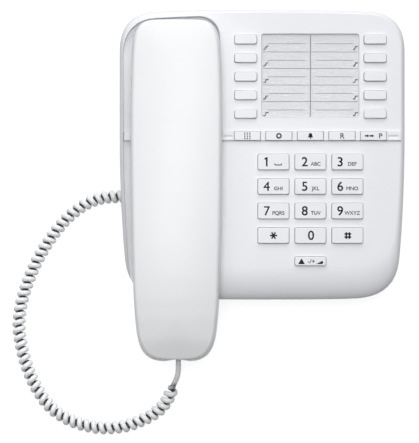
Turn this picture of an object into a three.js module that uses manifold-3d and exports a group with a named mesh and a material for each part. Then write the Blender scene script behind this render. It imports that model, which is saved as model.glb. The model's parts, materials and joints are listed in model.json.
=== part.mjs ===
// A corded landline phone: a sloping base with a cradle, its handset, and the curly cord between them.
// Millimetres, +Z up. The user sits at -Y. The origin is under the middle of the base and handset.
//
// Most pieces are drawn in the face frame: x to the right, y up the slope, z out of the face, with its
// origin at the middle of the base's sloping face. The lower case and the cord are drawn in the table
// frame, which has the same x, z up from the table and y level.
import * as THREE from "three";
import { mergeVertices } from "three/addons/utils/BufferGeometryUtils.js";
import Module from "manifold-3d";

const wasm = await Module();
wasm.setup();

// ---------------------------------------------------------------- driving dimensions

// The base
const baseWidth = 172;
const baseLength = 175; // up the slope
const faceHeight = 39.2; // middle of the face above the table
const tilt = THREE.MathUtils.degToRad(8); // slope of the face
const partingDepth = 13; // the upper case ends this far under the face
const edgeDepth = 7; // height of the rolled edge of the face
const sideRound = 5; // width of the rolled edge, at the sides,
const topRound = 3; // at the top
const frontRound = 14; // and at the front
const bottomInset = 3.5; // the case draws in by this much towards the table
const rearLean = 2.7; // and its bottom stands back by this much
const undersideHeight = 2; // underside above the table
const undersideChamfer = 1.5;

// Walls and clearances
const gap = 0.3; // between pieces that touch
const caseWall = 2.2;
const cradleWall = 1.8;
const cradleFloor = 2;
const shellWall = 2; // of the handset
const lipThickness = 1.2; // of the lower case's lip, inside the upper case
const keyGap = 0.25; // round a key's cap

// The cradle
const rim = 2.35; // left of the cradle
const topRim = 4.8; // above it
const cradleGroove = 4.65; // free width left of the handset
const cradleTuck = 1.75; // the right wall hides this far under the handset's edge
const cradleDepth = 5;
const cradleCorner = 12;
const pocketDepth = 12.3; // the pocket for the ear end
const pocketInset = 3; // its wall, in from the handset's outline
const pocketLength = 54;
const pocketCorner = 10;
const frontRestY = -37; // ridge that carries the handle
const frontRestSize = [36, 6];

// The handset, with t measured from its top end
const handsetWidth = 55;
const handsetOverhang = 36.9; // past the base's front edge
const handsetTopGap = 7.1; // below the base's top edge
const handsetHeight = 22; // thickest place of its back, above the base's face
const handsetThickest = 100; // t of that place
const topDrop = 4; // the back is this much lower at the top end
const lowerDrop = 10; // and at the lower end
const shellPart = 2; // the back shell ends this far above the base's face
const backRoll = [4.5, 6]; // width and height of the back's rolled edge
const backDraft = 0.3;
const backCrown = 1;
const endFlat = 12.5; // half width of the lower end's nearly straight stretch
const flangeThickness = 0.9; // edge of the front shell under the back shell
const handleUnderside = -2;
const handleInset = 3;
const earUnderside = -12;
const earInset = 4.5;
const earLength = 50;
const mouthUnderside = -11;
const mouthClearance = 2.1; // mouth end from the base's front edge
const mouthSlope = 5; // length of its sloping side

// The panel to the right of the cradle
const panelShift = 1.35; // the keys sit this far left of the panel's middle
const keyHeight = 1.6; // above the face
const keyTravel = 1.2;
const keyStemCorner = 0.8;
const keyCorner = 1.3;
const keyFlange = 1; // round the cap, under the face
const keyFlangeThickness = 1.2;
const keyStem = [4.4, 3.4];
const dialKey = [18.75, 9.6];
const dialPitch = [22.17, 14.7];
const dialTopY = -4.69;
const volumeKey = [18.75, 5.45];
const volumeY = -64.25;
const memoryKey = [13.4, 5.4];
const memoryPitch = [77.66, 11.14];
const memoryTopY = 68.77;
const functionKey = [15.7, 5.45];
const functionPitch = 18.92;
const functionY = 10.92;
const barHeight = 5.5;
const barRise = 1;
const cardSize = [58.47, 50.26];
const cardY = 47.03;
const cardRecess = 2;
const cardThickness = 0.3;
const windowThickness = 0.6;

// Inside the base
const boardDepth = 15; // top of the main board under the face
const boardThickness = 1.6;
const boardWidth = 98;
const boardFront = -72;
const boardRear = 79;
const boardCorner = 10;
const boardPinRows = [-2, -55]; // at both sides, clear of the keys
const boardPinRadius = 1.3;
const boardPostRadius = 2.6; // the shoulder that the board lies against
const matThickness = 1;
const domeHeight = keyTravel + 2.2; // a dome gives way by the key's travel
const domeRadius = 3.5;
const plungerSize = [8, 5];
const plungerTravel = 3;
const plungerFlange = [16, 6.4];
const plungerFlangeThickness = 1.2;
const springRadius = 2; // of the wire's centre line
const springWire = 0.4;
const springCurls = 2.5;
const screwRadius = 1.5;
const screwHead = [3, 2]; // radius and height
const screwBoss = 3.6; // radius of the upper case's screw boss
const screwWell = 4.4; // and of the lower case's
const screwRoom = [24, 2.2]; // from the base's side, and between boss and lip
const footRadius = 6;
const footThickness = 3;
const footRecess = 1.3;
const ringerPlace = [44, -22];
const ringerRadius = 15;
const ringerHeight = 5;
const magnetRadius = 8;
const magnetHeight = 4;
const keyholePlaces = [[4, -38], [4, 42]]; // for hanging the base on a wall
const keyholeHead = 4.2; // radius that a screw's head passes
const keyholeSlot = [2.1, 10]; // half width and length of the slot for its shank

// Plugs and jacks
const plugSize = [13, 7.6, 5.8]; // length, width, height
const plugSeat = 9.5; // length of plug inside its jack
const plugClearance = 0.3;
const latchWidth = 3.2;
const latchSpace = 2;
const lineSocket = [9.9, 6.9]; // width and height of the line jack's mouth
const lineJackX = 40;
const lineJackInset = 6.2; // from the base's rear edge
const jackWall = 2.5;
const channelHalfWidth = 9; // cord channel under the left edge
const channelHeight = 15.2;
const channelLength = 32;
const cordY = -20.5;
const handsetJackOffset = 1; // to the right of the handset's middle

// Inside the handset
const earMiddle = 27.5; // t of the receiver's middle
const receiverHeight = 5.5;
const receiverMagnet = [5, 3.5]; // its inset and height
const gasketThickness = 1.5;
const microphoneRadius = 4.5;
const microphoneHeight = 5;
const weightSize = [22, 60, 6];
const weightT = 105; // t of its middle
const handsetScrewT = 150;
const handsetScrewRadius = 1.25;
const handsetScrewHead = 2.5;

// The curly cord
const cableDiameter = 3.2;
const coilRadius = 2.55; // of the cable's centre line
const curlPitch = 4.5;
const curlSteps = 8;
const cableSides = 5;

// ---------------------------------------------------------------- derived places

const halfWidth = baseWidth / 2;
const halfLength = baseLength / 2;
const handsetHalf = handsetWidth / 2;
const handsetX = -halfWidth + rim + cradleGroove + handsetHalf;
const handsetTopY = halfLength - handsetTopGap;
const handsetLength = handsetTopY + halfLength + handsetOverhang;
const cradleRight = handsetX + handsetHalf - cradleTuck;
const panelX = (cradleRight + halfWidth) / 2 - panelShift;
const flangeTop = -caseWall - gap;
const lowFlangeTop = flangeTop - keyFlangeThickness - gap; // of keys under the bar's flange
const boardTop = -boardDepth;
const matBottom = boardTop + gap;
const matTop = matBottom + matThickness;
const domeTop = matTop + domeHeight;
const restTop = handleUnderside - gap; // what the handle rests on
const barEnd = halfWidth - 2.85;
const pocketEdgeY = handsetTopY - pocketLength - cradleWall;
const plungerY = (functionY + barHeight / 2 + pocketEdgeY) / 2;
const plungerFlangeTop = -cradleDepth - cradleFloor - gap - plungerTravel;
const plungerFlangeBottom = plungerFlangeTop - plungerFlangeThickness;
const lipInset = caseWall + gap;
const lipReach = lipInset + lipThickness;
const screwY = -halfLength + lipReach + screwRoom[1] + screwBoss;
const screwPlaces = [-1, 1].map((side) => [side * (halfWidth - screwRoom[0]), screwY]);
const screwShoulder = -22; // underside of the lower boss's step
const screwTip = -8.2;
const floorHeight = undersideHeight + caseWall;
const channelEnd = -halfWidth + channelLength;
const jackMouth = channelEnd + caseWall + gap;
const baseJackZ = floorHeight + gap + jackFloor(plugSize[2] + 2 * plugClearance);
const lineJackZ = floorHeight + gap + jackFloor(lineSocket[1]);
const mouthStart = handsetTopY + halfLength + mouthClearance; // t of the mouth end's sloping side
const handsetJackMouth = handsetLength - handleInset - shellWall - 2 * gap;
const jackRoof = 1.5; // over the mouth of a jack
const handsetJackZ = mouthUnderside + shellWall + gap + jackRoof + plugSize[2] / 2 + plugClearance;
const receiverRadius = handsetHalf - earInset - shellWall - 5;
const microphoneT = mouthStart + mouthSlope + shellWall + 6;
const switchX = handsetX - plungerFlange[0] / 2 + 3.4;
const springX = handsetX + plungerFlange[0] / 2 - 3.4;
const lineJackY = halfLength - lineJackInset;
const feetPlaces = [[-1, -1], [1, -1], [-1, 1], [1, 1]].map(([sideX, sideY]) => (
  [sideX * (halfWidth - 20), rearLean + sideY * (halfLength - 21)]
));
const boardPins = [
  ...[-1, 1].flatMap((side) => boardPinRows.map((y) => [panelX + side * (boardWidth / 2 - 2.6), y])),
  [panelX, boardRear - 3],
];

const faceFrame = new THREE.Matrix4()
  .makeTranslation(0, 0, faceHeight)
  .multiply(new THREE.Matrix4().makeRotationX(tilt));

// ---------------------------------------------------------------- finishes

const white = finish(0xeff0f3, 0.32);
const whiteKey = finish(0xf2f3f5, 0.38);
const whiteCord = finish(0xe9eaec, 0.45);
const clear = finish(0xf4f6f8, 0.08);
const card = finish(0xe2e3e6, 0.8);
const rubber = finish(0x3a3b3d, 0.85);
const board = finish(0x2f6b45, 0.5);
const black = finish(0x2a2b2d, 0.45);
const steel = finish(0xb9bbbe, 0.3, 1);

function finish(color, roughness, metalness = 0) {
  return new THREE.MeshStandardMaterial({ color, roughness, metalness });
}

// ---------------------------------------------------------------- solids and outlines

/** A manifold solid of a closed geometry. */
function solid(geometry) {
  const bare = new THREE.BufferGeometry();
  bare.setAttribute("position", geometry.getAttribute("position"));
  bare.setIndex(geometry.index);
  const merged = mergeVertices(bare, 1e-4);
  const triangles = [];
  for (let i = 0; i < merged.index.count; i += 3) {
    const [a, b, c] = [0, 1, 2].map((n) => merged.index.getX(i + n));
    if (a !== b && b !== c && c !== a) triangles.push(a, b, c);
  }
  return new wasm.Manifold(
    new wasm.Mesh({
      numProp: 3,
      vertProperties: Float32Array.from(merged.getAttribute("position").array),
      triVerts: Uint32Array.from(triangles),
    }),
  );
}

/** A named mesh of a geometry or a manifold solid. */
function piece(name, shape, material) {
  let geometry = shape;
  if (!shape.isBufferGeometry) {
    const made = shape.getMesh();
    geometry = new THREE.BufferGeometry();
    geometry.setAttribute("position", new THREE.BufferAttribute(made.vertProperties, made.numProp));
    geometry.setIndex(new THREE.BufferAttribute(made.triVerts, 1));
  }
  geometry.computeVertexNormals();
  const mesh = new THREE.Mesh(geometry, material);
  mesh.name = name;
  return mesh;
}

/** Joins a list of solids. */
function join(solids) {
  return solids.reduce((whole, next) => whole.add(next));
}

/** Cuts each solid of a list from the first. */
function cut(whole, tools) {
  return tools.reduce((left, tool) => left.subtract(tool), whole);
}

/** Closed form through rings of as many points each, anticlockwise seen from the last ring's side. */
function loft(rings, cap = fanCap) {
  const count = rings[0].length;
  const index = [];
  for (let level = 0; level < rings.length - 1; level += 1) {
    for (let i = 0; i < count; i += 1) {
      const a = level * count + i;
      const b = level * count + ((i + 1) % count);
      index.push(a, b, b + count, a, b + count, a + count);
    }
  }
  const last = (rings.length - 1) * count;
  for (const [a, b, c] of cap(count)) index.push(c, b, a, last + a, last + b, last + c);
  return new THREE.BufferGeometry().setFromPoints(rings.flat()).setIndex(index);
}

/** Triangles of a convex ring. */
function fanCap(count) {
  return Array.from({ length: count - 2 }, (_, i) => [0, i + 1, i + 2]);
}

/** Triangles of a ring whose first point is on its axis of symmetry, from side to side. */
function ladderCap(count) {
  const half = count / 2;
  const triangles = [[0, 1, count - 1], [half - 1, half, half + 1]];
  for (let i = 1; i < half - 1; i += 1) {
    triangles.push([i, i + 1, count - i - 1], [i, count - i - 1, count - i]);
  }
  return triangles;
}

function block([x0, x1], [y0, y1], [z0, z1]) {
  const box = new THREE.BoxGeometry(x1 - x0, y1 - y0, z1 - z0);
  return solid(box.translate((x0 + x1) / 2, (y0 + y1) / 2, (z0 + z1) / 2));
}

/** An upright cylinder, or a cone where its top has a radius of its own. */
function rod(x, y, [z0, z1], radius, sides = 20, topRadius = radius) {
  const upright = new THREE.CylinderGeometry(topRadius, radius, z1 - z0, sides);
  return solid(upright.rotateX(Math.PI / 2).translate(x, y, (z0 + z1) / 2));
}

/** A ring of points: a rectangle with round corners, or with cut ones where steps is 1. */
function plate(x, y, z, [width, height], corner, steps = 1) {
  const ring = [];
  [[1, -1], [1, 1], [-1, 1], [-1, -1]].forEach(([sideX, sideY], quarter) => {
    for (let i = 0; i <= steps; i += 1) {
      const angle = ((quarter - 1 + i / steps) * Math.PI) / 2;
      ring.push(new THREE.Vector3(
        x + sideX * (width / 2 - corner) + corner * Math.cos(angle),
        y + sideY * (height / 2 - corner) + corner * Math.sin(angle),
        z,
      ));
    }
  });
  return ring;
}

function roundBlock(x, y, [z0, z1], size, corner, steps = 1) {
  return solid(loft([plate(x, y, z0, size, corner, steps), plate(x, y, z1, size, corner, steps)]));
}

/** A prism along x of a profile of [y, z] points. */
function sideProfile(points, [x0, x1]) {
  const shape = new THREE.Shape(points.map(([y, z]) => new THREE.Vector2(y, z)));
  const along = new THREE.ExtrudeGeometry(shape, { depth: x1 - x0, bevelEnabled: false });
  const turn = new THREE.Matrix4().makeBasis(
    new THREE.Vector3(0, 1, 0),
    new THREE.Vector3(0, 0, 1),
    new THREE.Vector3(1, 0, 0),
  );
  return solid(along.applyMatrix4(turn).translate(x0, 0, 0));
}

/** Moves a solid that was drawn in the face frame to the table frame. */
function inTableFrame(shape) {
  return solid(piece("", shape, white).geometry.applyMatrix4(faceFrame));
}

/** A whole outline from its right half, given bottom to top as cubic curves. */
function outline(start, curves) {
  const half = [new THREE.Vector2(...start)];
  for (const [first, second, end, steps] of curves) {
    const knots = [half.at(-1), ...[first, second, end].map((p) => new THREE.Vector2(...p))];
    half.push(...new THREE.CubicBezierCurve(...knots).getPoints(steps).slice(1));
  }
  const left = half.slice(1, -1).reverse().map((p) => new THREE.Vector2(-p.x, p.y));
  return [...half, ...left];
}

// ---------------------------------------------------------------- the base's form

const baseOutline = outline([0, -halfLength], [
  [[25, -halfLength], [halfWidth - 44, -halfLength + 0.1], [halfWidth - 33, -halfLength + 0.5], 3],
  [
    [halfWidth - 16, -halfLength + 0.5],
    [halfWidth - 5.5, -halfLength + 7],
    [halfWidth - 3.4, -halfLength + 22.5],
    6,
  ],
  [[halfWidth - 1.8, -halfLength + 37.5], [halfWidth, -20], [halfWidth, 10], 3],
  [[halfWidth, 25], [halfWidth, 45], [halfWidth, halfLength - 24.5], 1],
  [
    [halfWidth, halfLength - 11.5],
    [halfWidth - 6.5, halfLength - 2.1],
    [halfWidth - 20, halfLength - 1.3],
    5,
  ],
  [[halfWidth - 36, halfLength - 0.3], [25, halfLength], [0, halfLength], 3],
]);

/** The base's outline at a height in the face frame, drawn in at its sides, top and front. */
function baseRing(z, sides, top = sides, front = sides) {
  return baseOutline.map(({ x, y }) => new THREE.Vector3(
    (x * (halfWidth - sides)) / halfWidth,
    (y * (halfLength - (y > 0 ? top : front))) / halfLength,
    z,
  ));
}

/** The base above its parting line, as a form that lies `inside` its surface. */
function baseForm(inside) {
  const rings = [baseRing(-partingDepth - (inside > 0 ? 1 : 0), inside)];
  for (const turn of [0, 1, 2, 3]) {
    const angle = (turn * Math.PI) / 6;
    const inset = (round) => round - (round - inside) * Math.cos(angle);
    const z = -edgeDepth + (edgeDepth - inside) * Math.sin(angle);
    rings.push(baseRing(z, inset(sideRound), inset(topRound), inset(frontRound)));
  }
  return solid(loft(rings, ladderCap));
}

/** The space of the cradle, or the block that it is cut in where it grows by a wall. */
function cradle(grow, [z0, z1]) {
  const rings = [z0, z1].map((z) => baseRing(z, rim - grow, topRim - grow, -cradleDepth));
  const size = [baseWidth, 2 * baseLength];
  const middle = [cradleRight + grow - size[0] / 2, halfLength - topRim + grow - size[1] / 2];
  const strip = roundBlock(...middle, [z0, z1], size, cradleCorner + grow, 3);
  return solid(loft(rings, ladderCap)).intersect(strip);
}

/** The pocket in the cradle for the ear end. */
function pocket(grow, [z0, z1]) {
  const rings = [z0, z1].map((z) => handsetRing(pocketInset - grow, () => z));
  const zone = handsetZone(-20, pocketLength + grow, [z0, z1], pocketCorner + grow);
  return solid(loft(rings, ladderCap)).intersect(zone);
}

// ---------------------------------------------------------------- the handset's form

const last = handsetLength;
const handsetOutline = outline([0, last], [
  [[4, last], [8, last - 0.1], [endFlat, last - 0.9], 2],
  [[handsetHalf - 8, last - 2.8], [handsetHalf - 4.9, last - 7.8], [handsetHalf - 3.5, last - 18.3], 4],
  [[handsetHalf - 2.6, last - 25.8], [handsetHalf - 1.9, last - 34.8], [handsetHalf - 1.5, last - 45.8], 2],
  [[handsetHalf - 0.5, last - 74.8], [handsetHalf, 95], [handsetHalf, 60], 3],
  [[handsetHalf, 42], [handsetHalf - 0.6, 26], [handsetHalf - 1.2, 16], 2],
  [[handsetHalf - 2.1, 6], [handsetHalf - 5, 1], [handsetHalf - 12.5, 0.4], 4],
  [[11, 0.1], [6, 0], [0, 0], 2],
]);

/** The handset's outline, drawn in towards its middle line and then shrunk towards it. */
function handsetRing(inset, height, shrink = 1) {
  const end = handsetHalf - 1.5;
  return handsetOutline.map((point) => {
    const t = THREE.MathUtils.clamp(point.y, end, handsetLength - end);
    const reach = Math.hypot(point.x, point.y - t);
    const scale = ((reach - inset) / reach) * shrink;
    const along = t + (point.y - t) * scale;
    return new THREE.Vector3(handsetX + point.x * scale, handsetTopY - along, height(along));
  });
}

/** Height of the back's middle line above the base's face. */
function backHeight(t) {
  const past = (t - handsetThickest) / (handsetLength - handsetThickest);
  const before = (handsetThickest - t) / handsetThickest;
  return handsetHeight - (past > 0 ? lowerDrop * past ** 3 : topDrop * before ** 2.5);
}

/** The back of the handset, as a form that lies `inside` its surface. */
function backForm(inside) {
  const [width, height] = backRoll;
  const bottom = shellPart - (inside > 0 ? 1 : 0);
  const rings = [handsetRing(inside, () => bottom)];
  for (const turn of [0, 1, 2, 3]) {
    const angle = (turn * Math.PI) / 6;
    const inset = backDraft + width - (width - inside) * Math.cos(angle);
    const rise = (height - inside) * Math.sin(angle) - height - backCrown;
    rings.push(handsetRing(inset, (t) => backHeight(t) + rise));
  }
  for (const shrink of [0.62, 0.3]) {
    const rise = -backCrown * shrink ** 2 - inside;
    rings.push(handsetRing(backDraft + width, (t) => backHeight(t) + rise, shrink));
  }
  return solid(loft(rings, ladderCap));
}

/** A block with round corners that spans the handset from one t to another. */
function handsetZone(from, to, [z0, z1], corner = 6, width = handsetWidth) {
  const y = handsetTopY - (from + to) / 2;
  return roundBlock(handsetX, y, [z0, z1], [width, to - from], corner, 4);
}

/** Part of the front shell, within a stretch of t: [inset, height] of each ring from its underside up. */
function frontForm(levels, zone) {
  const rings = levels.map(([inset, z]) => handsetRing(inset, () => z));
  return solid(loft(rings, ladderCap)).intersect(zone);
}

/** The space that the mouth end fills, behind its sloping side. */
function mouthZone(start, bottom) {
  const y = (t) => handsetTopY - t;
  const top = shellPart + 3;
  const end = handsetLength + 10;
  const profile = [
    [y(end), bottom],
    [y(start + mouthSlope), bottom],
    [y(start), handleUnderside],
    [y(start), top],
    [y(end), top],
  ];
  return sideProfile(profile, [handsetX - handsetHalf, handsetX + handsetHalf]);
}

// ---------------------------------------------------------------- keys

const dialNames = ["1", "2", "3", "4", "5", "6", "7", "8", "9", "star", "0", "hash"];
const functionNames = ["menu", "mute", "bell", "recall", "redial"];

/** Every key: its name, middle, cap size and the top of its flange. */
const keys = [
  ...dialNames.map((label, n) => ({
    name: "key_" + label,
    x: panelX + ((n % 3) - 1) * dialPitch[0],
    y: dialTopY - Math.floor(n / 3) * dialPitch[1],
    size: dialKey,
    flange: flangeTop,
  })),
  ...functionNames.map((label, n) => ({
    name: "key_" + label,
    x: panelX + (n - 2) * functionPitch,
    y: functionY,
    size: functionKey,
    flange: lowFlangeTop,
  })),
  ...Array.from({ length: 10 }, (_, n) => ({
    name: "key_memory_" + (n + 1),
    x: panelX + (n < 5 ? -0.5 : 0.5) * memoryPitch[0],
    y: memoryTopY - (n % 5) * memoryPitch[1],
    size: memoryKey,
    flange: flangeTop,
  })),
  { name: "key_volume", x: panelX, y: volumeY, size: volumeKey, flange: flangeTop },
];

/** A key's cap, the flange that keeps it under the face, and the stem that presses the mat. */
function keyForm({ x, y, size, flange }) {
  const flangeSize = size.map((side) => side + 2 * keyFlange);
  const topSize = size.map((side) => side - 0.8);
  const flangeBottom = flange - keyFlangeThickness;
  return loft([
    plate(x, y, domeTop + gap, keyStem, keyStemCorner),
    plate(x, y, flangeBottom, keyStem, keyStemCorner),
    plate(x, y, flangeBottom, flangeSize, keyCorner),
    plate(x, y, flange, flangeSize, keyCorner),
    plate(x, y, flange, size, keyCorner),
    plate(x, y, keyHeight - 0.4, size, keyCorner),
    plate(x, y, keyHeight, topSize, keyCorner - 0.4),
  ]);
}

/** The opening that a key's cap moves in. */
function keyOpening({ x, y, size }) {
  const open = size.map((side) => side + 2 * keyGap);
  return roundBlock(x, y, [lowFlangeTop - 1, keyHeight + 1], open, keyCorner);
}

// ---------------------------------------------------------------- pieces of the base

function upperCase() {
  const outside = baseForm(0);
  const posts = boardPins.flatMap(([x, y]) => [
    rod(x, y, [boardTop + gap, -caseWall / 2], boardPostRadius, 8),
    rod(x, y, [boardTop - boardThickness - 1.2, boardTop + 1], boardPinRadius, 8),
  ]);
  const bosses = screwPlaces.map(([x, y]) => {
    const top = x < cradleRight ? -cradleDepth - cradleFloor / 2 : -caseWall / 2;
    return rod(x, y, [-partingDepth, top], screwBoss, 12).intersect(outside);
  });
  const inner = join([
    outside.subtract(baseForm(caseWall)),
    cradle(cradleWall, [-cradleDepth - cradleFloor, 0]).intersect(outside),
    pocket(cradleWall, [-pocketDepth - cradleFloor, -cradleDepth - 1]),
    roundBlock(panelX, cardY, [-cardRecess - 1.6, -1], cardSize.map((side) => side + 2.4), 2),
    ...posts,
    ...bosses,
  ]);
  const rest = roundBlock(handsetX, frontRestY, [-cradleDepth - 1, restTop], frontRestSize, 2, 2);
  const plungerHole = plungerSize.map((side) => side + 2 * gap);
  return cut(
    cut(inner, [cradle(0, [-cradleDepth, 5]), pocket(0, [-pocketDepth, 5])]).add(rest),
    [
      roundBlock(panelX, cardY, [-cardRecess, 1], cardSize, 1.5),
      barSlot(),
      ...keys.filter((key) => key.flange === flangeTop).map(keyOpening),
      roundBlock(handsetX, plungerY, [-cradleDepth - cradleFloor - 1, 0], plungerHole, 1),
      ...screwPlaces.map(([x, y]) => (
        rod(x, y, [-partingDepth - 1, screwTip + gap], screwRadius + gap, 8)
      )),
    ],
  );
}

/** The slot in the face, and through the cradle's right wall, that the function bar fills. */
function barSlot() {
  return block(
    [cradleRight - 1, barEnd + gap],
    [functionY - barHeight / 2 - keyGap, functionY + barHeight / 2 + keyGap],
    [-cradleDepth + 0.01, barRise + 4],
  );
}

/** The bar between the function keys, its flange under the face and its rest across the cradle. */
function functionBar() {
  const range = (half) => [functionY - half, functionY + half];
  const flangeBottom = flangeTop - keyFlangeThickness;
  const flangeStart = cradleRight + cradleWall + gap;
  const visible = block([flangeStart, barEnd], range(barHeight / 2), [flangeBottom, barRise]);
  const raised = baseForm(0).translate([0, 0, barRise]);
  const cradleLeft = -halfWidth + rim + gap;
  return cut(
    join([
      block([cradleLeft, cradleRight - 0.5], range(barHeight / 2), [-cradleDepth + gap, restTop]),
      block([cradleRight - 1, flangeStart + 1], range(barHeight / 2), [flangeBottom, flangeTop]),
      block([flangeStart, barEnd - caseWall], range(barHeight / 2 + 1.5), [flangeBottom, flangeTop]),
      visible.intersect(raised),
    ]),
    keys.filter((key) => key.flange === lowFlangeTop).map(keyOpening),
  );
}

function cardWindow() {
  const z = -cardRecess + 2 * gap + cardThickness;
  const size = cardSize.map((side) => side - 2 * gap);
  return solid(loft([
    plate(panelX, cardY, z, size, 1.2),
    plate(panelX, cardY, z + windowThickness - 0.2, size, 1.2),
    plate(panelX, cardY, z + windowThickness, size.map((side) => side - 0.4), 1),
  ]));
}

function indexCard() {
  const z = -cardRecess + gap;
  return roundBlock(panelX, cardY, [z, z + cardThickness], cardSize.map((side) => side - 1), 0.8);
}

/** The rubber mat on the board, with a dome under each key. It lies between the board's pins. */
function keyMat() {
  const half = memoryPitch[0] / 2 + 4.2;
  const sheet = block(
    [panelX - half, panelX + half], [boardFront + 1, boardRear - 6], [matBottom, matTop],
  );
  const domes = keys.map(({ x, y }) => rod(x, y, [matTop - 0.2, domeTop], domeRadius, 6, domeRadius - 0.9));
  return join([sheet, ...domes]);
}

function mainBoard() {
  const z = [boardTop - boardThickness, boardTop];
  const size = [boardWidth, boardRear - boardFront];
  const left = panelX - boardWidth / 2;
  return cut(
    join([
      roundBlock(panelX, (boardFront + boardRear) / 2, z, size, boardCorner),
      block([handsetX - 11, left + 1], [plungerY - 6, plungerY + 6], z),
    ]),
    boardPins.map(([x, y]) => rod(x, y, [-30, 0], boardPinRadius + gap, 8)),
  );
}

function hookSwitch() {
  return roundBlock(switchX, plungerY, [boardTop + gap, plungerFlangeBottom - 1.1], [7, 6], 0.6).add(
    roundBlock(switchX, plungerY, [boardTop + 1, plungerFlangeBottom - gap], [2.4, 2.4], 0.5),
  );
}

function hookPlunger() {
  const shape = (z, size, corner) => plate(handsetX, plungerY, z, size, corner);
  return loft([
    shape(plungerFlangeBottom, plungerFlange, 1),
    shape(plungerFlangeTop, plungerFlange, 1),
    shape(plungerFlangeTop, plungerSize, 1),
    shape(restTop - 0.8, plungerSize, 1),
    shape(restTop, plungerSize.map((side) => side - 1.4), 0.8),
  ]);
}

function hookSpring() {
  const start = boardTop + gap + springWire / 2;
  const end = plungerFlangeBottom - gap - springWire / 2;
  const point = (n) => {
    const angle = (n / curlSteps) * 2 * Math.PI;
    const z = start + ((end - start) * n) / (springCurls * curlSteps);
    return new THREE.Vector3(
      springX + springRadius * Math.cos(angle), plungerY + springRadius * Math.sin(angle), z,
    );
  };
  const centres = Array.from({ length: springCurls * curlSteps + 1 }, (_, n) => point(n));
  return tube(centres, () => new THREE.Vector3(0, 0, 1), springWire);
}

/** The lower case, in the table frame. */
function lowerCase() {
  const low = (z, inset) => baseRing(0, bottomInset + inset).map(({ x, y }) => (
    new THREE.Vector3(x, y + rearLean, z)
  ));
  const high = (z, inset) => baseRing(z, inset).map((point) => point.applyMatrix4(faceFrame));
  const top = -partingDepth - gap;
  const outside = solid(loft([
    low(undersideHeight, undersideChamfer),
    low(undersideHeight + undersideChamfer, 0),
    high(top, 0),
  ], ladderCap));
  const lip = solid(loft([high(top - 2, lipInset), high(top + 1.6, lipInset)], ladderCap));
  const inside = solid(loft([
    low(floorHeight, caseWall),
    high(top - 4, caseWall),
    high(top - 2.4, lipReach),
    high(top + 3, lipReach),
  ], ladderCap));
  const wallHeights = [undersideHeight + 1, floorHeight + ringerHeight];
  const ringWall = rod(...ringerPlace, wallHeights, ringerRadius + gap + 1.5, 20)
    .subtract(rod(...ringerPlace, [0, 30], ringerRadius + gap, 20));
  const added = [
    block([-halfWidth, channelEnd + caseWall], cordRange(channelHalfWidth + caseWall), [
      undersideHeight, channelHeight + caseWall,
    ]).intersect(outside),
    block([lineJackX - 8, lineJackX + 8], [lineJackY + gap, halfLength + 5], [undersideHeight, 18])
      .intersect(outside),
    ...screwPlaces.map(([x, y]) => (
      inTableFrame(rod(x, y, [-40, top], screwWell, 12)).intersect(outside)
    )),
    ringWall,
  ];
  const grille = [-2, -1, 0, 1, 2].map((n) => block(
    [ringerPlace[0] + 4.5 * n - 1.1, ringerPlace[0] + 4.5 * n + 1.1],
    [ringerPlace[1] - 11 + Math.abs(n), ringerPlace[1] + 11 - Math.abs(n)],
    [0, floorHeight + 1],
  ));
  return cut(join([outside.add(lip).subtract(inside), ...added]), [
    block([-halfWidth - 10, channelEnd], cordRange(channelHalfWidth), [-5, channelHeight]),
    jackOpening(...plugMouth, [-5, 0.2]).translate([jackMouth, cordY, baseJackZ]),
    solid(turned(jackOpening(...lineSocket, [-12, 0.2]), -Math.PI / 2))
      .translate([lineJackX, lineJackY, lineJackZ]),
    ...feetPlaces.map(([x, y]) => rod(x, y, [0, undersideHeight + footRecess], footRadius + gap, 14)),
    ...screwPlaces.flatMap(([x, y]) => [
      inTableFrame(rod(x, y, [-45, screwShoulder], screwHead[0] + 0.5, 12)),
      inTableFrame(rod(x, y, [-45, 0], screwRadius + gap, 8)),
    ]),
    ...grille,
    ...keyholePlaces.flatMap(([x, y]) => [
      rod(x, y, [0, floorHeight + 1], keyholeHead, 14),
      block(
        [x - keyholeSlot[0], x + keyholeSlot[0]], [y, y + keyholeSlot[1]], [0, floorHeight + 1],
      ),
    ]),
  ]);
}

function cordRange(half) {
  return [cordY - half, cordY + half];
}

/** The ringer: its case on the floor and the magnet on top. */
function ringer() {
  const bottom = floorHeight + gap;
  const top = bottom + ringerHeight;
  return rod(...ringerPlace, [bottom, top], ringerRadius, 20).add(
    rod(...ringerPlace, [top - 1, top + magnetHeight], magnetRadius, 14),
  );
}

function caseScrew([x, y]) {
  const head = rod(x, y, [screwShoulder - gap - screwHead[1], screwShoulder - gap], screwHead[0], 12);
  return head.add(rod(x, y, [screwShoulder - gap - 1, screwTip], screwRadius, 10));
}

// ---------------------------------------------------------------- plugs and jacks

/** How far a jack's body reaches under the middle of its mouth. */
function jackFloor(mouthHeight) {
  return mouthHeight / 2 + latchSpace + 0.7;
}

const plugMouth = [plugSize[1] + 2 * plugClearance, plugSize[2] + 2 * plugClearance];

/** The space in a jack for its plug and the latch under it, along +x from its mouth. */
function jackOpening(width, height, [from, to]) {
  const latch = latchWidth / 2 + 0.5;
  return block([from, to], [-width / 2, width / 2], [-height / 2, height / 2]).add(
    block([from, to], [-latch, latch], [-height / 2 - latchSpace, 0]),
  );
}

/** A jack whose mouth is at the origin and opens towards -x. */
function jack(width, height) {
  const half = width / 2 + jackWall;
  const body = block([0, plugSeat + 1.8], [-half, half], [-jackFloor(height), height / 2 + jackRoof]);
  return body.subtract(jackOpening(width, height, [-1, plugSeat + gap]));
}

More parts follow.
